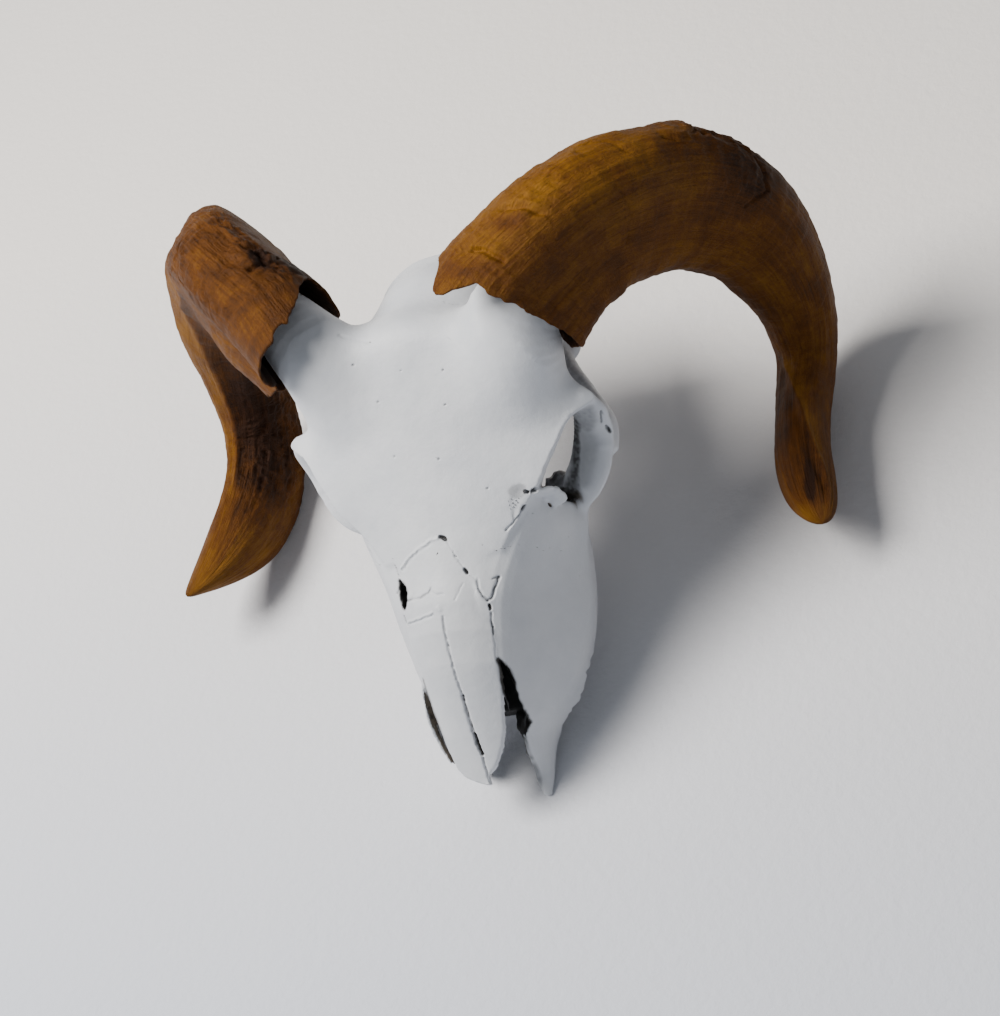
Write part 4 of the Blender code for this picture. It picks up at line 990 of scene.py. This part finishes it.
def nearMarks(points, quads, fromTo, reach):
    middle = points[quads].mean(1)
    outer = isOuter(fromTo)
    near = np.zeros(len(quads), bool)
    for line, wide, *look in allMarks():
        at = pointsNear(middle, line, reach + widest(wide))
        d, width = markDistance(middle[at], line, wide)
        near[at[d < width + reach]] = True
    return near & outer


# Two rounds of finer skin near the marks.
extras = []
for reach in (1.8, 0.8):
    chosen = nearMarks(points, quads, fromTo, reach)
    points, quads, fromTo, extras = refine(points, quads, fromTo, extras, chosen)
print("skin refined:", len(points), "points,", len(quads), "quads,", len(extras), "others")


# The field's value at each point, between its cells.
def fieldAt(where):
    place = [(where[:, k] - axis[0]) / step for k, axis in enumerate(axes)]
    place = [np.clip(v, 0, field.shape[k] - 1.01) for k, v in enumerate(place)]
    low = [v.astype(np.int32) for v in place]
    part = [v - l for v, l in zip(place, low)]
    total = 0
    for i, j, k, weight in corners(part):
        total = total + weight * field[low[0] + i, low[1] + j, low[2] + k]
    return total


# Press the marks into the skin, and note how dark each point is.
def carveMarks(points, normals):
    dark = np.zeros(len(points))
    moved = points.copy()
    for line, wide, depth, darkness, blotch in allMarks():
        most = 3 * widest(wide) + 1
        at = pointsNear(points, line, most)
        where = points[at]
        shaken = where + min(0.35, 0.3 * most / 3) * np.stack([grain(*where.T, 1.6, k) for k in range(3)], -1)
        d, width = markDistance(shaken, line, wide)
        shape = np.exp(-(d / width) ** 4) if depth > 1.4 else np.exp(-(d / width) ** 2)
        moved[at] -= normals[at] * (depth * shape)[:, None]
        spots = 1 - blotch * unit(0.5 + 1.2 * grain(*where.T, 1.3, 5))
        dark[at] = np.maximum(dark[at], darkness * np.exp(-(d / (width * 1.05)) ** 4) * spots)
    for hole in holes.values():
        at = pointsNear(points, hole[0], max(hole[1]) + 2)
        near = unit(1.2 - holeDistance(hole, *points[at].T))
        dark[at] = np.maximum(dark[at], hole[4] * near)
    # The inside of the nose is partly unpainted bone and partly painted shade: dark deep inside, less so
    # where it faces outwards or lies near the muzzle.
    x, y, z = points.T
    low = nasalRoof(x, y) - nasal["thick"] + 0.4 - z
    halfNose = np.interp(y, [30, 46, 60, 80], [14.6, 15.5, 17, 19])
    noseBareAndShade = unit(low) * unit(halfNose - np.abs(x)) * unit((y - 30) / 6)
    noseBareAndShade *= (y < 124) * (z > 11)
    facesOut = np.maximum(normals[:, 0] * np.sign(x), 0)
    noseBareAndShade *= unit(1 - facesOut * 2.5) * unit((y - 24) / 60 + 0.4)
    mottled = 1 - 0.5 * unit(grain(x, y, z, 3, 14) + 0.2) * unit((56 - y) / 8)
    # Painted shade: the bone is greyer towards the muzzle.
    muzzleShade = 0.10 * unit((150 - y) / 60)
    onPalate = (normals[:, 2] < -0.2) & (z < 32) & (y > nose["palateFront"] - 8)
    noseBareAndShade *= np.where(onPalate, 0.0, 1.0)
    # Painted shade inside the opening for the spinal cord.
    centre, radii = air["spinal"]
    brainHollowShade = unit(1.5 - ballDistance(np.abs(x), y, z, centre, radii)) * unit((267 - y) / 5)
    inside = np.maximum(0.97 * unit(noseBareAndShade) * mottled, 0.95 * brainHollowShade)
    return moved, np.maximum(dark, np.maximum(muzzleShade, inside))


# How much bone stands in front of each point, 3 to 10 mm out from it; this drives painted shade in the
# hollows.
normals = skinNormals(points, quads, fromTo, extras)
occlusionShade = np.zeros(len(points))
for reach in (3.0, 6.0, 10.0):
    occlusionShade += (1 - unit(fieldAt(points + normals * reach) / reach)) / 3
points, dark = carveMarks(points, normals)
# Unevenness of the bone under its paint: height, size of the grain, seed.
uneven = [(0.05, 3.0, 1), (0.03, 1.6, 2), (0.22, 17, 3), (0.10, 7, 4)]
fine = sum(height * grain(*points.T, size, seed) for height, size, seed in uneven)
points = points + normals * fine[:, None]
normals = skinNormals(points, quads, fromTo, extras)
print("marks carved")


def addObject(name, data):
    made = bpy.data.objects.new(name, data)
    bpy.context.scene.collection.objects.link(made)
    return made


def makeMesh(name, points, corners, sizes, normals=None):
    mesh = bpy.data.meshes.new(name)
    mesh.vertices.add(len(points))
    mesh.vertices.foreach_set("co", points.astype(np.float32).ravel())
    mesh.loops.add(len(corners))
    mesh.loops.foreach_set("vertex_index", corners.astype(np.int32))
    mesh.polygons.add(len(sizes))
    starts = np.concatenate([[0], np.cumsum(sizes)[:-1]])
    mesh.polygons.foreach_set("loop_start", starts.astype(np.int32))
    mesh.polygons.foreach_set("loop_total", sizes.astype(np.int32))
    mesh.update()
    mesh.validate()
    mesh.shade_smooth()
    if normals is not None:
        mesh.normals_split_custom_set_from_vertices(normals.tolist())
    return addObject(name, mesh)


def giveAttribute(piece, name, values, kind, field):
    layer = piece.data.attributes.new(name, kind, "POINT")
    layer.data.foreach_set(field, np.asarray(values, np.float32).ravel())


def place(piece, node, slotName, material):
    piece.data.materials.append(material)
    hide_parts(node)
    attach(piece, "root")


def newMaterial(name):
    material = bpy.data.materials.new(name)
    material.use_nodes = True
    tree = material.node_tree
    return material, tree, tree.nodes["Principled BSDF"]


def node(tree, kind, inputs=None, **settings):
    made = tree.nodes.new("ShaderNode" + kind)
    for key, value in settings.items():
        setattr(made, key, value)
    for key, value in (inputs or {}).items():
        if hasattr(value, "is_output"):
            tree.links.new(value, made.inputs[key])
        else:
            made.inputs[key].default_value = value
    return made


def ramp(tree, factor, stops):
    made = node(tree, "ValToRGB", {"Fac": factor})
    while len(made.color_ramp.elements) < len(stops):
        made.color_ramp.elements.new(0.5)
    for element, (position, colour) in zip(made.color_ramp.elements, stops):
        element.position = position
        element.color = (*colour, 1)
    return made.outputs["Color"]


# Soft noise at a place; its size, how many finer layers it has, and how strong those are.
def noise(tree, at, scale, detail, roughness=0.5):
    return node(tree, "TexNoise", {"Vector": at, "Scale": scale, "Detail": detail,
                                   "Roughness": roughness}).outputs["Fac"]


def attribute(tree, name, output="Fac"):
    return node(tree, "Attribute", attribute_name=name).outputs[output]


def mixColour(tree, share, first, second):
    return node(tree, "Mix", {0: share, 6: first, 7: second}, data_type="RGBA").outputs[2]


def calculate(tree, operation, *values):
    return node(tree, "Math", dict(enumerate(values)), operation=operation).outputs[0]


# Gives the shader its colour, and a fine relief of the given strength and depth in metres.
def finish(tree, shader, colour, height, strength, depth):
    tree.links.new(colour, shader.inputs["Base Color"])
    bump = node(tree, "Bump", {"Height": height, "Strength": strength, "Distance": depth})
    tree.links.new(bump.outputs["Normal"], shader.inputs["Normal"])


# Bone colours: two random tones of the paint; dull unpainted bone, which also serves as painted shade in
# hollows; and near black for cracks, which also serves as painted shade.
boneFinish = {
    "light": (0.60, 0.615, 0.64), "shade": (0.53, 0.55, 0.585), "bareBoneAndShade": (0.16, 0.13, 0.10),
    "crackAndShade": (0.012, 0.011, 0.010), "rough": 0.5}


# Thin cool paint in random tones. Where other bone stands close around it, the colour turns to dull unpainted
# bone, partly real and partly painted shade in hollows. Marks are dark: cracks with dirt, and painted shade
# in the orbit, the temple and the nose.
def paintedBone(f):
    material, tree, shader = newMaterial("painted bone")
    at = node(tree, "TexCoord").outputs["Object"]
    dark = attribute(tree, "boneDark")
    occlusionShade = attribute(tree, "boneOcclusionShade")
    broad = noise(tree, at, scale=38.0, detail=6.0, roughness=0.6)
    fine = noise(tree, at, scale=700.0, detail=4.0, roughness=0.6)
    patchy = noise(tree, at, scale=160.0, detail=5.0)
    paint = ramp(tree, broad, [(0.32, f["shade"]), (0.62, f["light"])])
    # Painted shade: the more bone stands close around a place, the more it turns to the dull unpainted
    # colour.
    reach = calculate(tree, "ADD", calculate(tree, "MULTIPLY_ADD", patchy, 0.5, -0.25), occlusionShade)
    bareBoneAndShade = node(tree, "MapRange", {"Value": reach, "From Min": 0.52, "From Max": 0.80}).outputs["Result"]
    colour = mixColour(tree, bareBoneAndShade, paint, (*f["bareBoneAndShade"], 1))
    # The dark attribute darkens cracks, and paints shade into the orbit, the temple and the nose.
    colour = mixColour(tree, dark, colour, (*f["crackAndShade"], 1))
    finish(tree, shader, colour, fine, strength=0.22, depth=0.0005)
    shader.inputs["Roughness"].default_value = f["rough"]
    shader.inputs["Specular IOR Level"].default_value = 0.35
    return material


hornFinish = {
    "ochre": (0.205, 0.088, 0.006), "brown": (0.086, 0.027, 0.0009), "dark": (0.020, 0.0054, 0.0003),
    "inside": (0.040, 0.026, 0.016)}


# Colours run along the fibres and are banded by growth; hornTone darkens or lightens whole places.
def dryHorn(f):
    material, tree, shader = newMaterial("dry horn")
    at = attribute(tree, "hornPlace", "Vector")
    tone = attribute(tree, "hornTone")
    inside = attribute(tree, "hornInside")
    stretched = node(tree, "Mapping", {"Vector": at, "Scale": (1.0, 1.0, 0.09)}).outputs["Vector"]
    banded = node(tree, "Mapping", {"Vector": at, "Scale": (0.10, 0.10, 1.0)}).outputs["Vector"]
    fibres = noise(tree, stretched, scale=0.55, detail=8.0, roughness=0.65)
    bands = noise(tree, banded, scale=0.30, detail=6.0, roughness=0.7)
    blots = noise(tree, at, scale=0.07, detail=6.0, roughness=0.62)
    scuffs = noise(tree, at, scale=0.9, detail=4.0, roughness=0.7)

    def weigh(a, b, share):
        return node(tree, "Mix", {0: share, 2: a, 3: b}, data_type="FLOAT").outputs[0]

    mixed = weigh(weigh(fibres, bands, 0.22), blots, 0.5)
    mixed = weigh(mixed, scuffs, 0.24)
    lit = calculate(tree, "MULTIPLY_ADD", calculate(tree, "SUBTRACT", mixed, 0.5), 2.3, 0.46)
    lit = calculate(tree, "ADD", lit, tone)
    colour = ramp(tree, lit, [(0.02, f["dark"]), (0.42, f["brown"]), (0.95, f["ochre"])])
    grey = ramp(tree, scuffs, [(0.30, f["dark"]), (0.70, f["inside"])])
    colour = mixColour(tree, inside, colour, grey)
    shine = node(tree, "MapRange", {"Value": mixed, "From Min": 0.3, "From Max": 0.7, "To Min": 0.46,
                                    "To Max": 0.72}).outputs["Result"]
    tree.links.new(shine, shader.inputs["Roughness"])
    shader.inputs["Specular IOR Level"].default_value = 0.14
    finish(tree, shader, colour, weigh(fibres, scuffs, 0.35), strength=1.0, depth=0.0018)
    return material


boneMaterial = paintedBone(boneFinish)
hornMaterial = dryHorn(hornFinish)
normals = normals @ restTurn.T
world = toWorld(points)


def makeBone(name, number):
    chosen = (fromTo[:, 0] == number) | (fromTo[:, 1] == number)
    own = quads[chosen]
    own = np.where((fromTo[chosen, 1] == number)[:, None], own[:, ::-1], own)
    corners, sizes = [own.ravel()], [np.full(len(own), 4)]
    for loop, (a, b) in extras:
        if number in (a, b):
            corners.append(np.array(loop[::-1] if b == number else loop))
            sizes.append(np.array([len(loop)]))
    used, corners = np.unique(np.concatenate(corners), return_inverse=True)
    piece = makeMesh(name + "_bone", world[used], corners.ravel(), np.concatenate(sizes), normals[used])
    giveAttribute(piece, "boneDark", dark[used], "FLOAT", "value")
    giveAttribute(piece, "boneOcclusionShade", occlusionShade[used], "FLOAT", "value")
    place(piece, name, "painted_bone", boneMaterial)


for name, number in boneNumber.items():
    makeBone(name, number)
print("bones placed")

horn = {
    "path": [(48.9, 222.6, 115.9), (76.3, 252.8, 105.2), (106.5, 273.3, 67.7), (129.5, 265.2, 22.2),
             (134.9, 231.0, -23.0), (132.1, 181.4, -16.6), (146.8, 135.6, 14.1)],
    "tall": [36.1, 36.1, 34.1, 25.1, 14.7, 12.4, 14.5], "wide": [32.8, 29.2, 23.9, 18.9, 22.7, 21.5, 5.4],
    "twistDeg": [-17, -3, 2, 3, 7, 9, 9], "length": 315, "tipTaper": 0.86, "wall": 3.4, "rimWall": 1.0,
    "depth": 0.5, "rimReach": 38, "tipFade": 14, "bottom": 24, "rings": 500, "sides": 260, "innerRings": 150}
# Of each sheath, the rim: angle from the crest, how far along the horn it lies; and where the wall stands out
# from or in from plain ovals: angle, distance along the horn, amount, spread in degrees, spread along.
sheaths = {
    "horn_sheath_left": {
        "side": 1, "seed": 1, "torn": 1.0,
        # The keel of the far half: (angle, along), lighter on one side of it and darker on the other.
        "keel": {
            "line": [(150, 205), (139, 226), (115, 246), (97, 259), (80, 277), (64, 289), (50, 300)],
            "light": 0.26, "dark": -0.20, "height": 1.1, "spread": 11},
        "rim": [(0, -19), (6, -16), (13, -12), (21, -6), (34, -5), (45, -5), (60, -2), (90, 0), (130, 3),
                (180, 5), (240, 4), (280, 0), (330, -4), (346, -12), (356, -18.5), (360, -19)],
        "swells": [(72, 20, -8, 38, 75), (122, 40, 1.5, 16, 90)],
        # Ragged places: angle, along, height, spread in degrees, spread along.
        "ragged": [(350, 8, 1.6, 14, 14), (8, 34, 1.4, 16, 10), (350, 52, 1.2, 16, 18),
                   (350, 108, 1.4, 22, 20), (20, 122, 0.8, 30, 20), (104, 300, 1.8, 16, 10),
                   (60, 2, 1.0, 60, 5)],
        # Scales that have lifted: angle, along, half width in degrees, half length, height.
        "scales": [(345, 93, 22, 9, 2.2), (20, 112, 34, 17, 0.8), (352, 34, 20, 12, 0.7)],
        # Cracks: points (angle, along), half width, depth.
        "cracks": [([(350, 27), (2, 31), (16, 33)], 1.2, 1.9), ([(0, 6), (8, 8.5), (24, 9.5)], 1.2, 2.0),
                   ([(337, 41), (352, 46)], 0.8, 1.0), ([(6, 86), (14, 92.5)], 0.7, 0.9),
                   ([(353, 101), (5, 119), (14, 127), (39, 134), (61, 126)], 0.8, 0.9),
                   ([(333, 60), (350, 68), (10, 71)], 0.6, 0.6), ([(84, 60), (60, 63), (30, 60)], 0.5, 0.4)],
        # Darker and lighter places: angle, along, amount, spread in degrees, spread along.
        "tones": [(165, 60, -0.2, 50, 90), (160, 160, -0.1, 40, 60), (104, 302, -0.9, 9, 4),
                  (98, 297, -0.7, 8, 4), (92, 292, -0.5, 8, 6), (200, 312, 0.3, 120, 7),
                  (350, 45, 0.22, 45, 40), (30, 120, -0.12, 50, 30), (120, 110, 0.14, 30, 60),
                  (2, 7, -0.22, 12, 3), (8, 31, -0.22, 14, 4), (20, 124, -0.3, 40, 16),
                  (30, 70, 0.1, 40, 40)]},
    "horn_sheath_right": {
        "side": -1, "seed": 4, "torn": 1.5,
        "keel": {
            "line": [(54, 60), (75, 108), (92, 134), (99, 153), (102, 180), (104, 212), (110, 250)],
            "light": 0.16, "dark": -0.16, "height": 1.0, "spread": 20},
        "rim": [(0, -24), (20, -27), (40, -28), (60, -28), (80, -25), (100, -20), (120, -15), (150, -6),
                (180, 0), (270, 0), (300, 6), (315, 0), (325, -10), (340, -20), (360, -24)],
        "swells": [(72, 20, -13, 38, 70), (112, -20, -17, 65, 45), (285, 45, -4, 34, 30), (2, 95, -5, 28, 35),
                   (312, 98, 6.5, 22, 30), (75, 150, 4, 35, 30)],
        "ragged": [(320, 20, 3.2, 11, 16), (321, 48, 2.6, 10, 16), (345, 40, 1.3, 40, 40),
                   (30, 20, 1.0, 60, 20), (180, 225, 2.2, 60, 60), (200, 150, 2.0, 30, 40)],
        "scales": [(330, 27, 14, 7, 1.5), (345, 70, 20, 14, 0.9), (20, 55, 16, 10, 0.5)],
        "cracks": [([(342, 14), (330, 16), (318, 17), (305, 24)], 1.1, 1.5),
                   ([(14, 38), (18, 27), (29, 15)], 0.6, 0.7), ([(0, 60), (12, 52), (20, 54)], 0.6, 0.6),
                   ([(330, 32), (322, 21)], 1.0, 1.3), ([(40, 70), (30, 55), (34, 42)], 0.6, 0.6),
                   ([(350, 90), (5, 84), (22, 88)], 0.7, 0.7)],
        "tones": [(15, 45, -0.14, 60, 60), (60, 175, 0.1, 32, 60), (150, 215, -0.34, 42, 55),
                  (120, 185, -0.2, 25, 40), (326, 26, -0.65, 10, 7), (295, 10, -0.5, 25, 14),
                  (175, 306, 0.22, 120, 16), (210, 250, 0.15, 22, 35), (170, 285, 0.12, 40, 20),
                  (18, 95, -0.15, 20, 20)]}}
looseFit = {"pivot": (-72, 248, 108), "turnDeg": (-2.9, 0.2, -4.3), "slide": (-16.6, 4.3, -5.9)}


# A place on a circle of the horn's mean size, for noise that runs round it without a seam.
def around(angle, radius=30):
    return radius * np.cos(angle), radius * np.sin(angle)


# An angle brought between -180 and 180 degrees.
def turned(deg):
    return (deg + 180) % 360 - 180


# Points of the horn's skin: share of its length, angle round it, how far inside the plain ovals.
def hornSurface(h, share, angle, inset):
    fine = 241
    centre = splineThrough(h["path"], fine)
    along = np.linspace(0, 1, fine)
    end = np.sqrt(unit(1 - np.clip((along - h["tipTaper"]) / (1 - h["tipTaper"]), 0, 0.9995) ** 2))
    tall = splineThrough(h["tall"], fine)[:, 0] * end
    wide = splineThrough(h["wide"], fine)[:, 0] * end
    turn = np.radians(splineThrough(h["twistDeg"], fine)[:, 0])
    t, u, w = framesAlong(centre, (0, 0, 1))
    k = unit(share)

    def read(values):
        columns = values.reshape(fine, -1).T
        return np.stack([np.interp(k, along, column) for column in columns], axis=-1)

    c = read(centre) + (np.minimum(share, 0) * h["length"])[..., None] * t[0]
    a = np.maximum(read(tall) - inset[..., None], 0.3)
    b = np.maximum(read(wide) - inset[..., None], 0.3)
    u, w, turn = read(u), read(w), read(turn)
    p = np.cos(turn) * u + np.sin(turn) * w
    q = np.cos(turn) * w - np.sin(turn) * u
    return c + a * np.cos(angle)[..., None] * p + b * np.sin(angle)[..., None] * q


# How far along the horn the torn rim lies at each angle.
def rimOffset(s, angle):
    knots = np.array(s["rim"], float)
    deg = np.degrees(angle) % 360
    smooth = np.interp(deg, knots[:, 0], knots[:, 1])
    x, y = around(angle)
    ragged = 1.6 * grain(x, y, 0 * x, 12, s["seed"]) + 1.3 * grain(x, y, 0 * x, 5, s["seed"] + 7)
    teeth = 1.0 * grain(x, y, 0 * x, 2.2, s["seed"] + 9)
    return smooth + s["torn"] * (ragged + teeth)


# Sum of soft spots on the horn: angle, distance along, amount, spread in degrees, spread along.
def spots(table, deg, along):
    total = np.zeros(np.broadcast(deg, along).shape)
    for middle, at, amount, spread, length in table:
        away = turned(deg - middle)
        total += amount * np.exp(-(away / spread) ** 2 - ((along - at) / length) ** 2)
    return total


# Distance on the horn's skin, in mm, to a line of points (angle, along).
def lineOnHorn(line, deg, along):
    best = np.full(np.broadcast(deg, along).shape, 1e3)
    perDegree = 0.5
    for (a0, l0), (a1, l1) in zip(line, line[1:]):
        turn = turned(a1 - a0) * perDegree
        dx = turned(deg - a0) * perDegree
        dy = along - l0
        t = unit((dx * turn + dy * (l1 - l0)) / (turn ** 2 + (l1 - l0) ** 2))
        best = np.minimum(best, np.hypot(dx - t * turn, dy - t * (l1 - l0)))
    return best


# Where a place lies from the keel: distance on the skin, positive on its darker side, and how near the keel's
# span.
def fromKeel(keel, deg, along):
    line = np.array(keel["line"], float)
    middle = np.interp(along, line[:, 1], line[:, 0])
    away = turned(deg - middle) * 0.5
    span = unit((along - line[0, 1]) / 25) * unit((line[-1, 1] + 14 - along) / 14)
    return away, span


# Relief of the horn: distance between growth rings, where in its step a ring drops back, how far it stands
# out, how thick flakes are, and where the smoother tip begins.
relief = {"ringStep": 8.5, "ringDrop": 0.86, "ringHeight": 0.55, "flakes": 0.6, "smoothTip": 300}


# How far the horn's skin stands out at each place, from growth rings, fibres, lifted scales and cracks.
def hornRelief(s, deg, along):
    r = relief
    x, y = around(np.radians(deg))

    def rough(size, number, stretch=1.0):
        return grain(x, y, along * stretch, size, s["seed"] + number)

    bent = along + 3.0 * rough(22, 0) + 1.0 * rough(7, 1)
    strong = 0.55 + 0.45 * rough(35, 2)
    young = unit((r["smoothTip"] - along) / 120)
    saw = (bent / r["ringStep"]) % 1
    drop = unit((saw - r["ringDrop"]) / (1 - r["ringDrop"]))
    ring = (saw - drop) * r["ringHeight"] * strong * young
    small = 0.10 * grain(0.3 * x, 0.3 * y, bent, 1.6, s["seed"] + 12) * young
    fibre = 0.20 * rough(2.6, 3, 0.10) + 0.25 * rough(6, 4, 0.12)
    lump = 0.75 * rough(17, 5) + 0.32 * rough(6.5, 6)
    flaky = np.abs(rough(5, 14)) + 0.5 * np.abs(rough(2.4, 15))
    lump = lump + spots(s["ragged"], deg, along) * (r["flakes"] - flaky)
    total = ring + small + fibre + lump * np.clip((r["smoothTip"] - along) / 60, 0.2, 1)
    wobble = 0.22 * rough(7, 8) + 0.10 * rough(2.5, 10)
    for middle, at, halfDeg, halfLong, height in s["scales"]:
        away = np.hypot(turned(deg - middle) / halfDeg, (along - at) / halfLong) + wobble
        lift = unit((along - at) / halfLong * 0.5 + 0.5)
        total = total + height * lift * unit((1 - away) * 9)
    away, span = fromKeel(s["keel"], deg, along)
    total = total + s["keel"]["height"] * span * np.exp(-(away / 3.2) ** 2)
    total = total - 0.7 * s["keel"]["height"] * span * np.exp(-((away - 8) / 5) ** 2)
    for line, halfWidth, depth in s["cracks"]:
        away = lineOnHorn(line, deg + 3 * grain(x, y, along, 3, 11), along + 1.0 * grain(x, y, along, 4, 12))
        total = total - depth * np.exp(-(away / halfWidth) ** 2)
    return total


# A sheath is one closed piece: outer skin, rim, inner skin and the bottom of its hollow.
def makeSheath(name, h, s):
    angle = np.linspace(0, 2 * np.pi, h["sides"], endpoint=False)
    offset = rimOffset(s, angle)
    along = np.linspace(0, 1, h["rings"])[:, None] * h["length"]
    deg = np.broadcast_to(np.degrees(angle), (h["rings"], h["sides"]))
    shares = along / h["length"] + offset / h["length"] * np.exp(-along / h["rimReach"])
    swell = spots(s["swells"], deg, along)
    raised = hornRelief(s, deg, shares * h["length"])
    raised = raised * unit((h["length"] - along) / h["tipFade"])
    outerSkin = hornSurface(h, shares, np.radians(deg), -swell - raised)
    deep = np.linspace(0, 1, h["innerRings"])[:, None]
    alongIn = deep * h["depth"] * h["length"]
    degIn = np.broadcast_to(np.degrees(angle), (h["innerRings"], h["sides"]))
    sharesIn = alongIn / h["length"] + offset / h["length"] * np.exp(-alongIn / h["rimReach"])
    rimWall = h["rimWall"] + 0.5 * grain(*around(angle), 0 * angle, 6, 3)
    wall = rimWall + (h["wall"] - rimWall) * unit(alongIn / 16) + h["bottom"] * deep ** 4
    x, y = around(np.radians(degIn))
    inner = 0.35 * grain(x, y, alongIn * 0.2, 4, 6) + 0.35 * grain(x, y, alongIn, 8, 5)
    nearRim = unit(alongIn / 3)
    innerSwell = spots(s["swells"], degIn, alongIn)
    raisedIn = hornRelief(s, degIn, sharesIn * h["length"]) * (1 - nearRim)
    innerSkin = hornSurface(h, sharesIn, np.radians(degIn), wall - innerSwell - raisedIn + inner * nearRim)
    n, m = h["sides"], h["rings"]
    points = np.concatenate([outerSkin.reshape(-1, 3), innerSkin.reshape(-1, 3)])
    points[:, 0] *= s["side"]
    if s["side"] < 0:
        turn = np.eye(3)
        for degrees, axis in zip(looseFit["turnDeg"], "XYZ"):
            turn = turnOf(degrees, axis) @ turn
        pivot = np.array(looseFit["pivot"])
        points = (points - pivot) @ turn.T + pivot + np.array(looseFit["slide"])
    j = np.arange(n)
    k = (j + 1) % n

    def band(low, high):
        quads = np.stack([low + j, low + k, high + k, high + j], 1)
        return quads if s["side"] > 0 else quads[:, ::-1]

    base = m * n
    faces = [band(i * n, (i + 1) * n) for i in range(m - 1)]
    faces += [band(base + (i + 1) * n, base + i * n) for i in range(h["innerRings"] - 1)]
    faces.append(band(base, 0))
    faces = np.concatenate(faces)
    tip = np.arange((m - 1) * n, m * n)[::s["side"]]
    bottom = np.arange(base + (h["innerRings"] - 1) * n, base + h["innerRings"] * n)[::-s["side"]]
    piece = makeMesh(name + "_horn", toWorld(points), np.concatenate([faces.ravel(), tip, bottom]),
                     np.concatenate([np.full(len(faces), 4), [n, n]]))
    # What the material reads: the place on the horn, how light it is there, and whether it is inside.
    place3 = np.concatenate([np.stack([*around(np.radians(d)), sh * h["length"]], -1).reshape(-1, 3)
                             for d, sh in ((deg, shares), (degIn, sharesIn))])
    shaken = deg + 3 * grain(40 * np.radians(deg), along, 0 * along, 6, s["seed"])
    away, span = fromKeel(s["keel"], shaken, along)
    sided = np.where(away > 0, s["keel"]["dark"] * np.exp(-(away / (4 * s["keel"]["spread"])) ** 4),
                     s["keel"]["light"] * np.exp(-(away / s["keel"]["spread"]) ** 2))
    tone = spots(s["tones"], deg, along) + span * sided * unit(np.abs(away) / 1.2)
    tone = np.concatenate([tone.ravel(), -0.25 + 0 * degIn.ravel()])
    inside = np.concatenate([np.zeros(deg.size), unit(alongIn / 4 + 0 * degIn).ravel()])
    giveAttribute(piece, "hornPlace", place3, "FLOAT_VECTOR", "vector")
    giveAttribute(piece, "hornTone", tone, "FLOAT", "value")
    giveAttribute(piece, "hornInside", inside, "FLOAT", "value")
    place(piece, name, "horn", hornMaterial)


for name, s in sheaths.items():
    makeSheath(name, horn, s)
print("sheaths placed")

# Painted light on the floor: lighter and warmer along one direction, darker and cooler the other way.
floorFinish = {
    "warm": (0.80, 0.765, 0.73), "cool": (0.575, 0.61, 0.69), "across": (0.15, 0.99), "from": -0.26,
    "to": 0.22, "size": 3.0}


def makeFloor(f):
    bm = bmesh.new()
    bmesh.ops.create_grid(bm, x_segments=2, y_segments=2, size=f["size"])
    mesh = bpy.data.meshes.new("floor")
    bm.to_mesh(mesh)
    bm.free()
    floor = addObject("floor", mesh)
    material, tree, shader = newMaterial("pale floor")
    at = node(tree, "TexCoord").outputs["Object"]
    paintedLightSlope = node(tree, "VectorMath", {0: at, 1: (*f["across"], 0)}, operation="DOT_PRODUCT").outputs["Value"]
    share = node(tree, "MapRange", {"Value": paintedLightSlope, "From Min": f["from"],
                                    "From Max": f["to"]}).outputs["Result"]
    colour = mixColour(tree, share, (*f["cool"], 1), (*f["warm"], 1))
    plaster = noise(tree, at, scale=180.0, detail=5.0, roughness=0.6)
    finish(tree, shader, colour, plaster, strength=0.5, depth=0.0012)
    shader.inputs["Roughness"].default_value = 0.9
    mesh.materials.append(material)


makeFloor(floorFinish)

view = {
    "lens": 77.9, "sensor": 36.0, "at": (390.2, -82.6, 913.2),
    "axes": ((0.9114, 0.1315, 0.3898), (-0.0361, 0.9694, -0.2427), (-0.4098, 0.2071, 0.8883))}
# Soft light: name, direction that it comes from in the view (right, up, towards the camera), distance, size,
# power.
lamps = [("key", (-0.86, 0.38, 0.52), 1.5, 0.8, 54.0, (1.0, 0.965, 0.92)),
         ("fill", (0.1, -1.0, 0.8), 2.0, 1.6, 7.0, (0.86, 0.92, 1.0))]


def setView(v):
    camera = bpy.data.cameras.new("camera")
    camera.lens = v["lens"]
    camera.sensor_width = v["sensor"]
    camera.clip_start = 0.01
    holder = addObject("camera", camera)
    turn = restTurn @ np.array(v["axes"])
    spot = toWorld(np.array([v["at"]]))[0]
    holder.matrix_world = Matrix([[*turn[i], spot[i]] for i in range(3)] + [[0, 0, 0, 1]])
    bpy.context.scene.camera = holder
    return turn


def setLight(turn):
    for name, direction, distance, size, power, colour in lamps:
        light = bpy.data.lights.new(name, "AREA")
        light.energy = power
        light.color = colour
        light.size = size
        lamp = addObject(name, light)
        away = turn @ np.array(direction)
        away /= np.linalg.norm(away)
        side = np.cross((0, 0, 1), away)
        side /= np.linalg.norm(side)
        up = np.cross(away, side)
        spot = away * distance + np.array([0, 0, 0.1])
        lamp.matrix_world = Matrix([[side[i], up[i], away[i], spot[i]] for i in range(3)] + [[0, 0, 0, 1]])
    world = bpy.data.worlds.new("room light")
    world.use_nodes = True
    world.node_tree.nodes["Background"].inputs["Color"].default_value = (0.80, 0.84, 0.90, 1)
    world.node_tree.nodes["Background"].inputs["Strength"].default_value = 0.30
    bpy.context.scene.world = world


setLight(setView(view))
print("light and camera set")
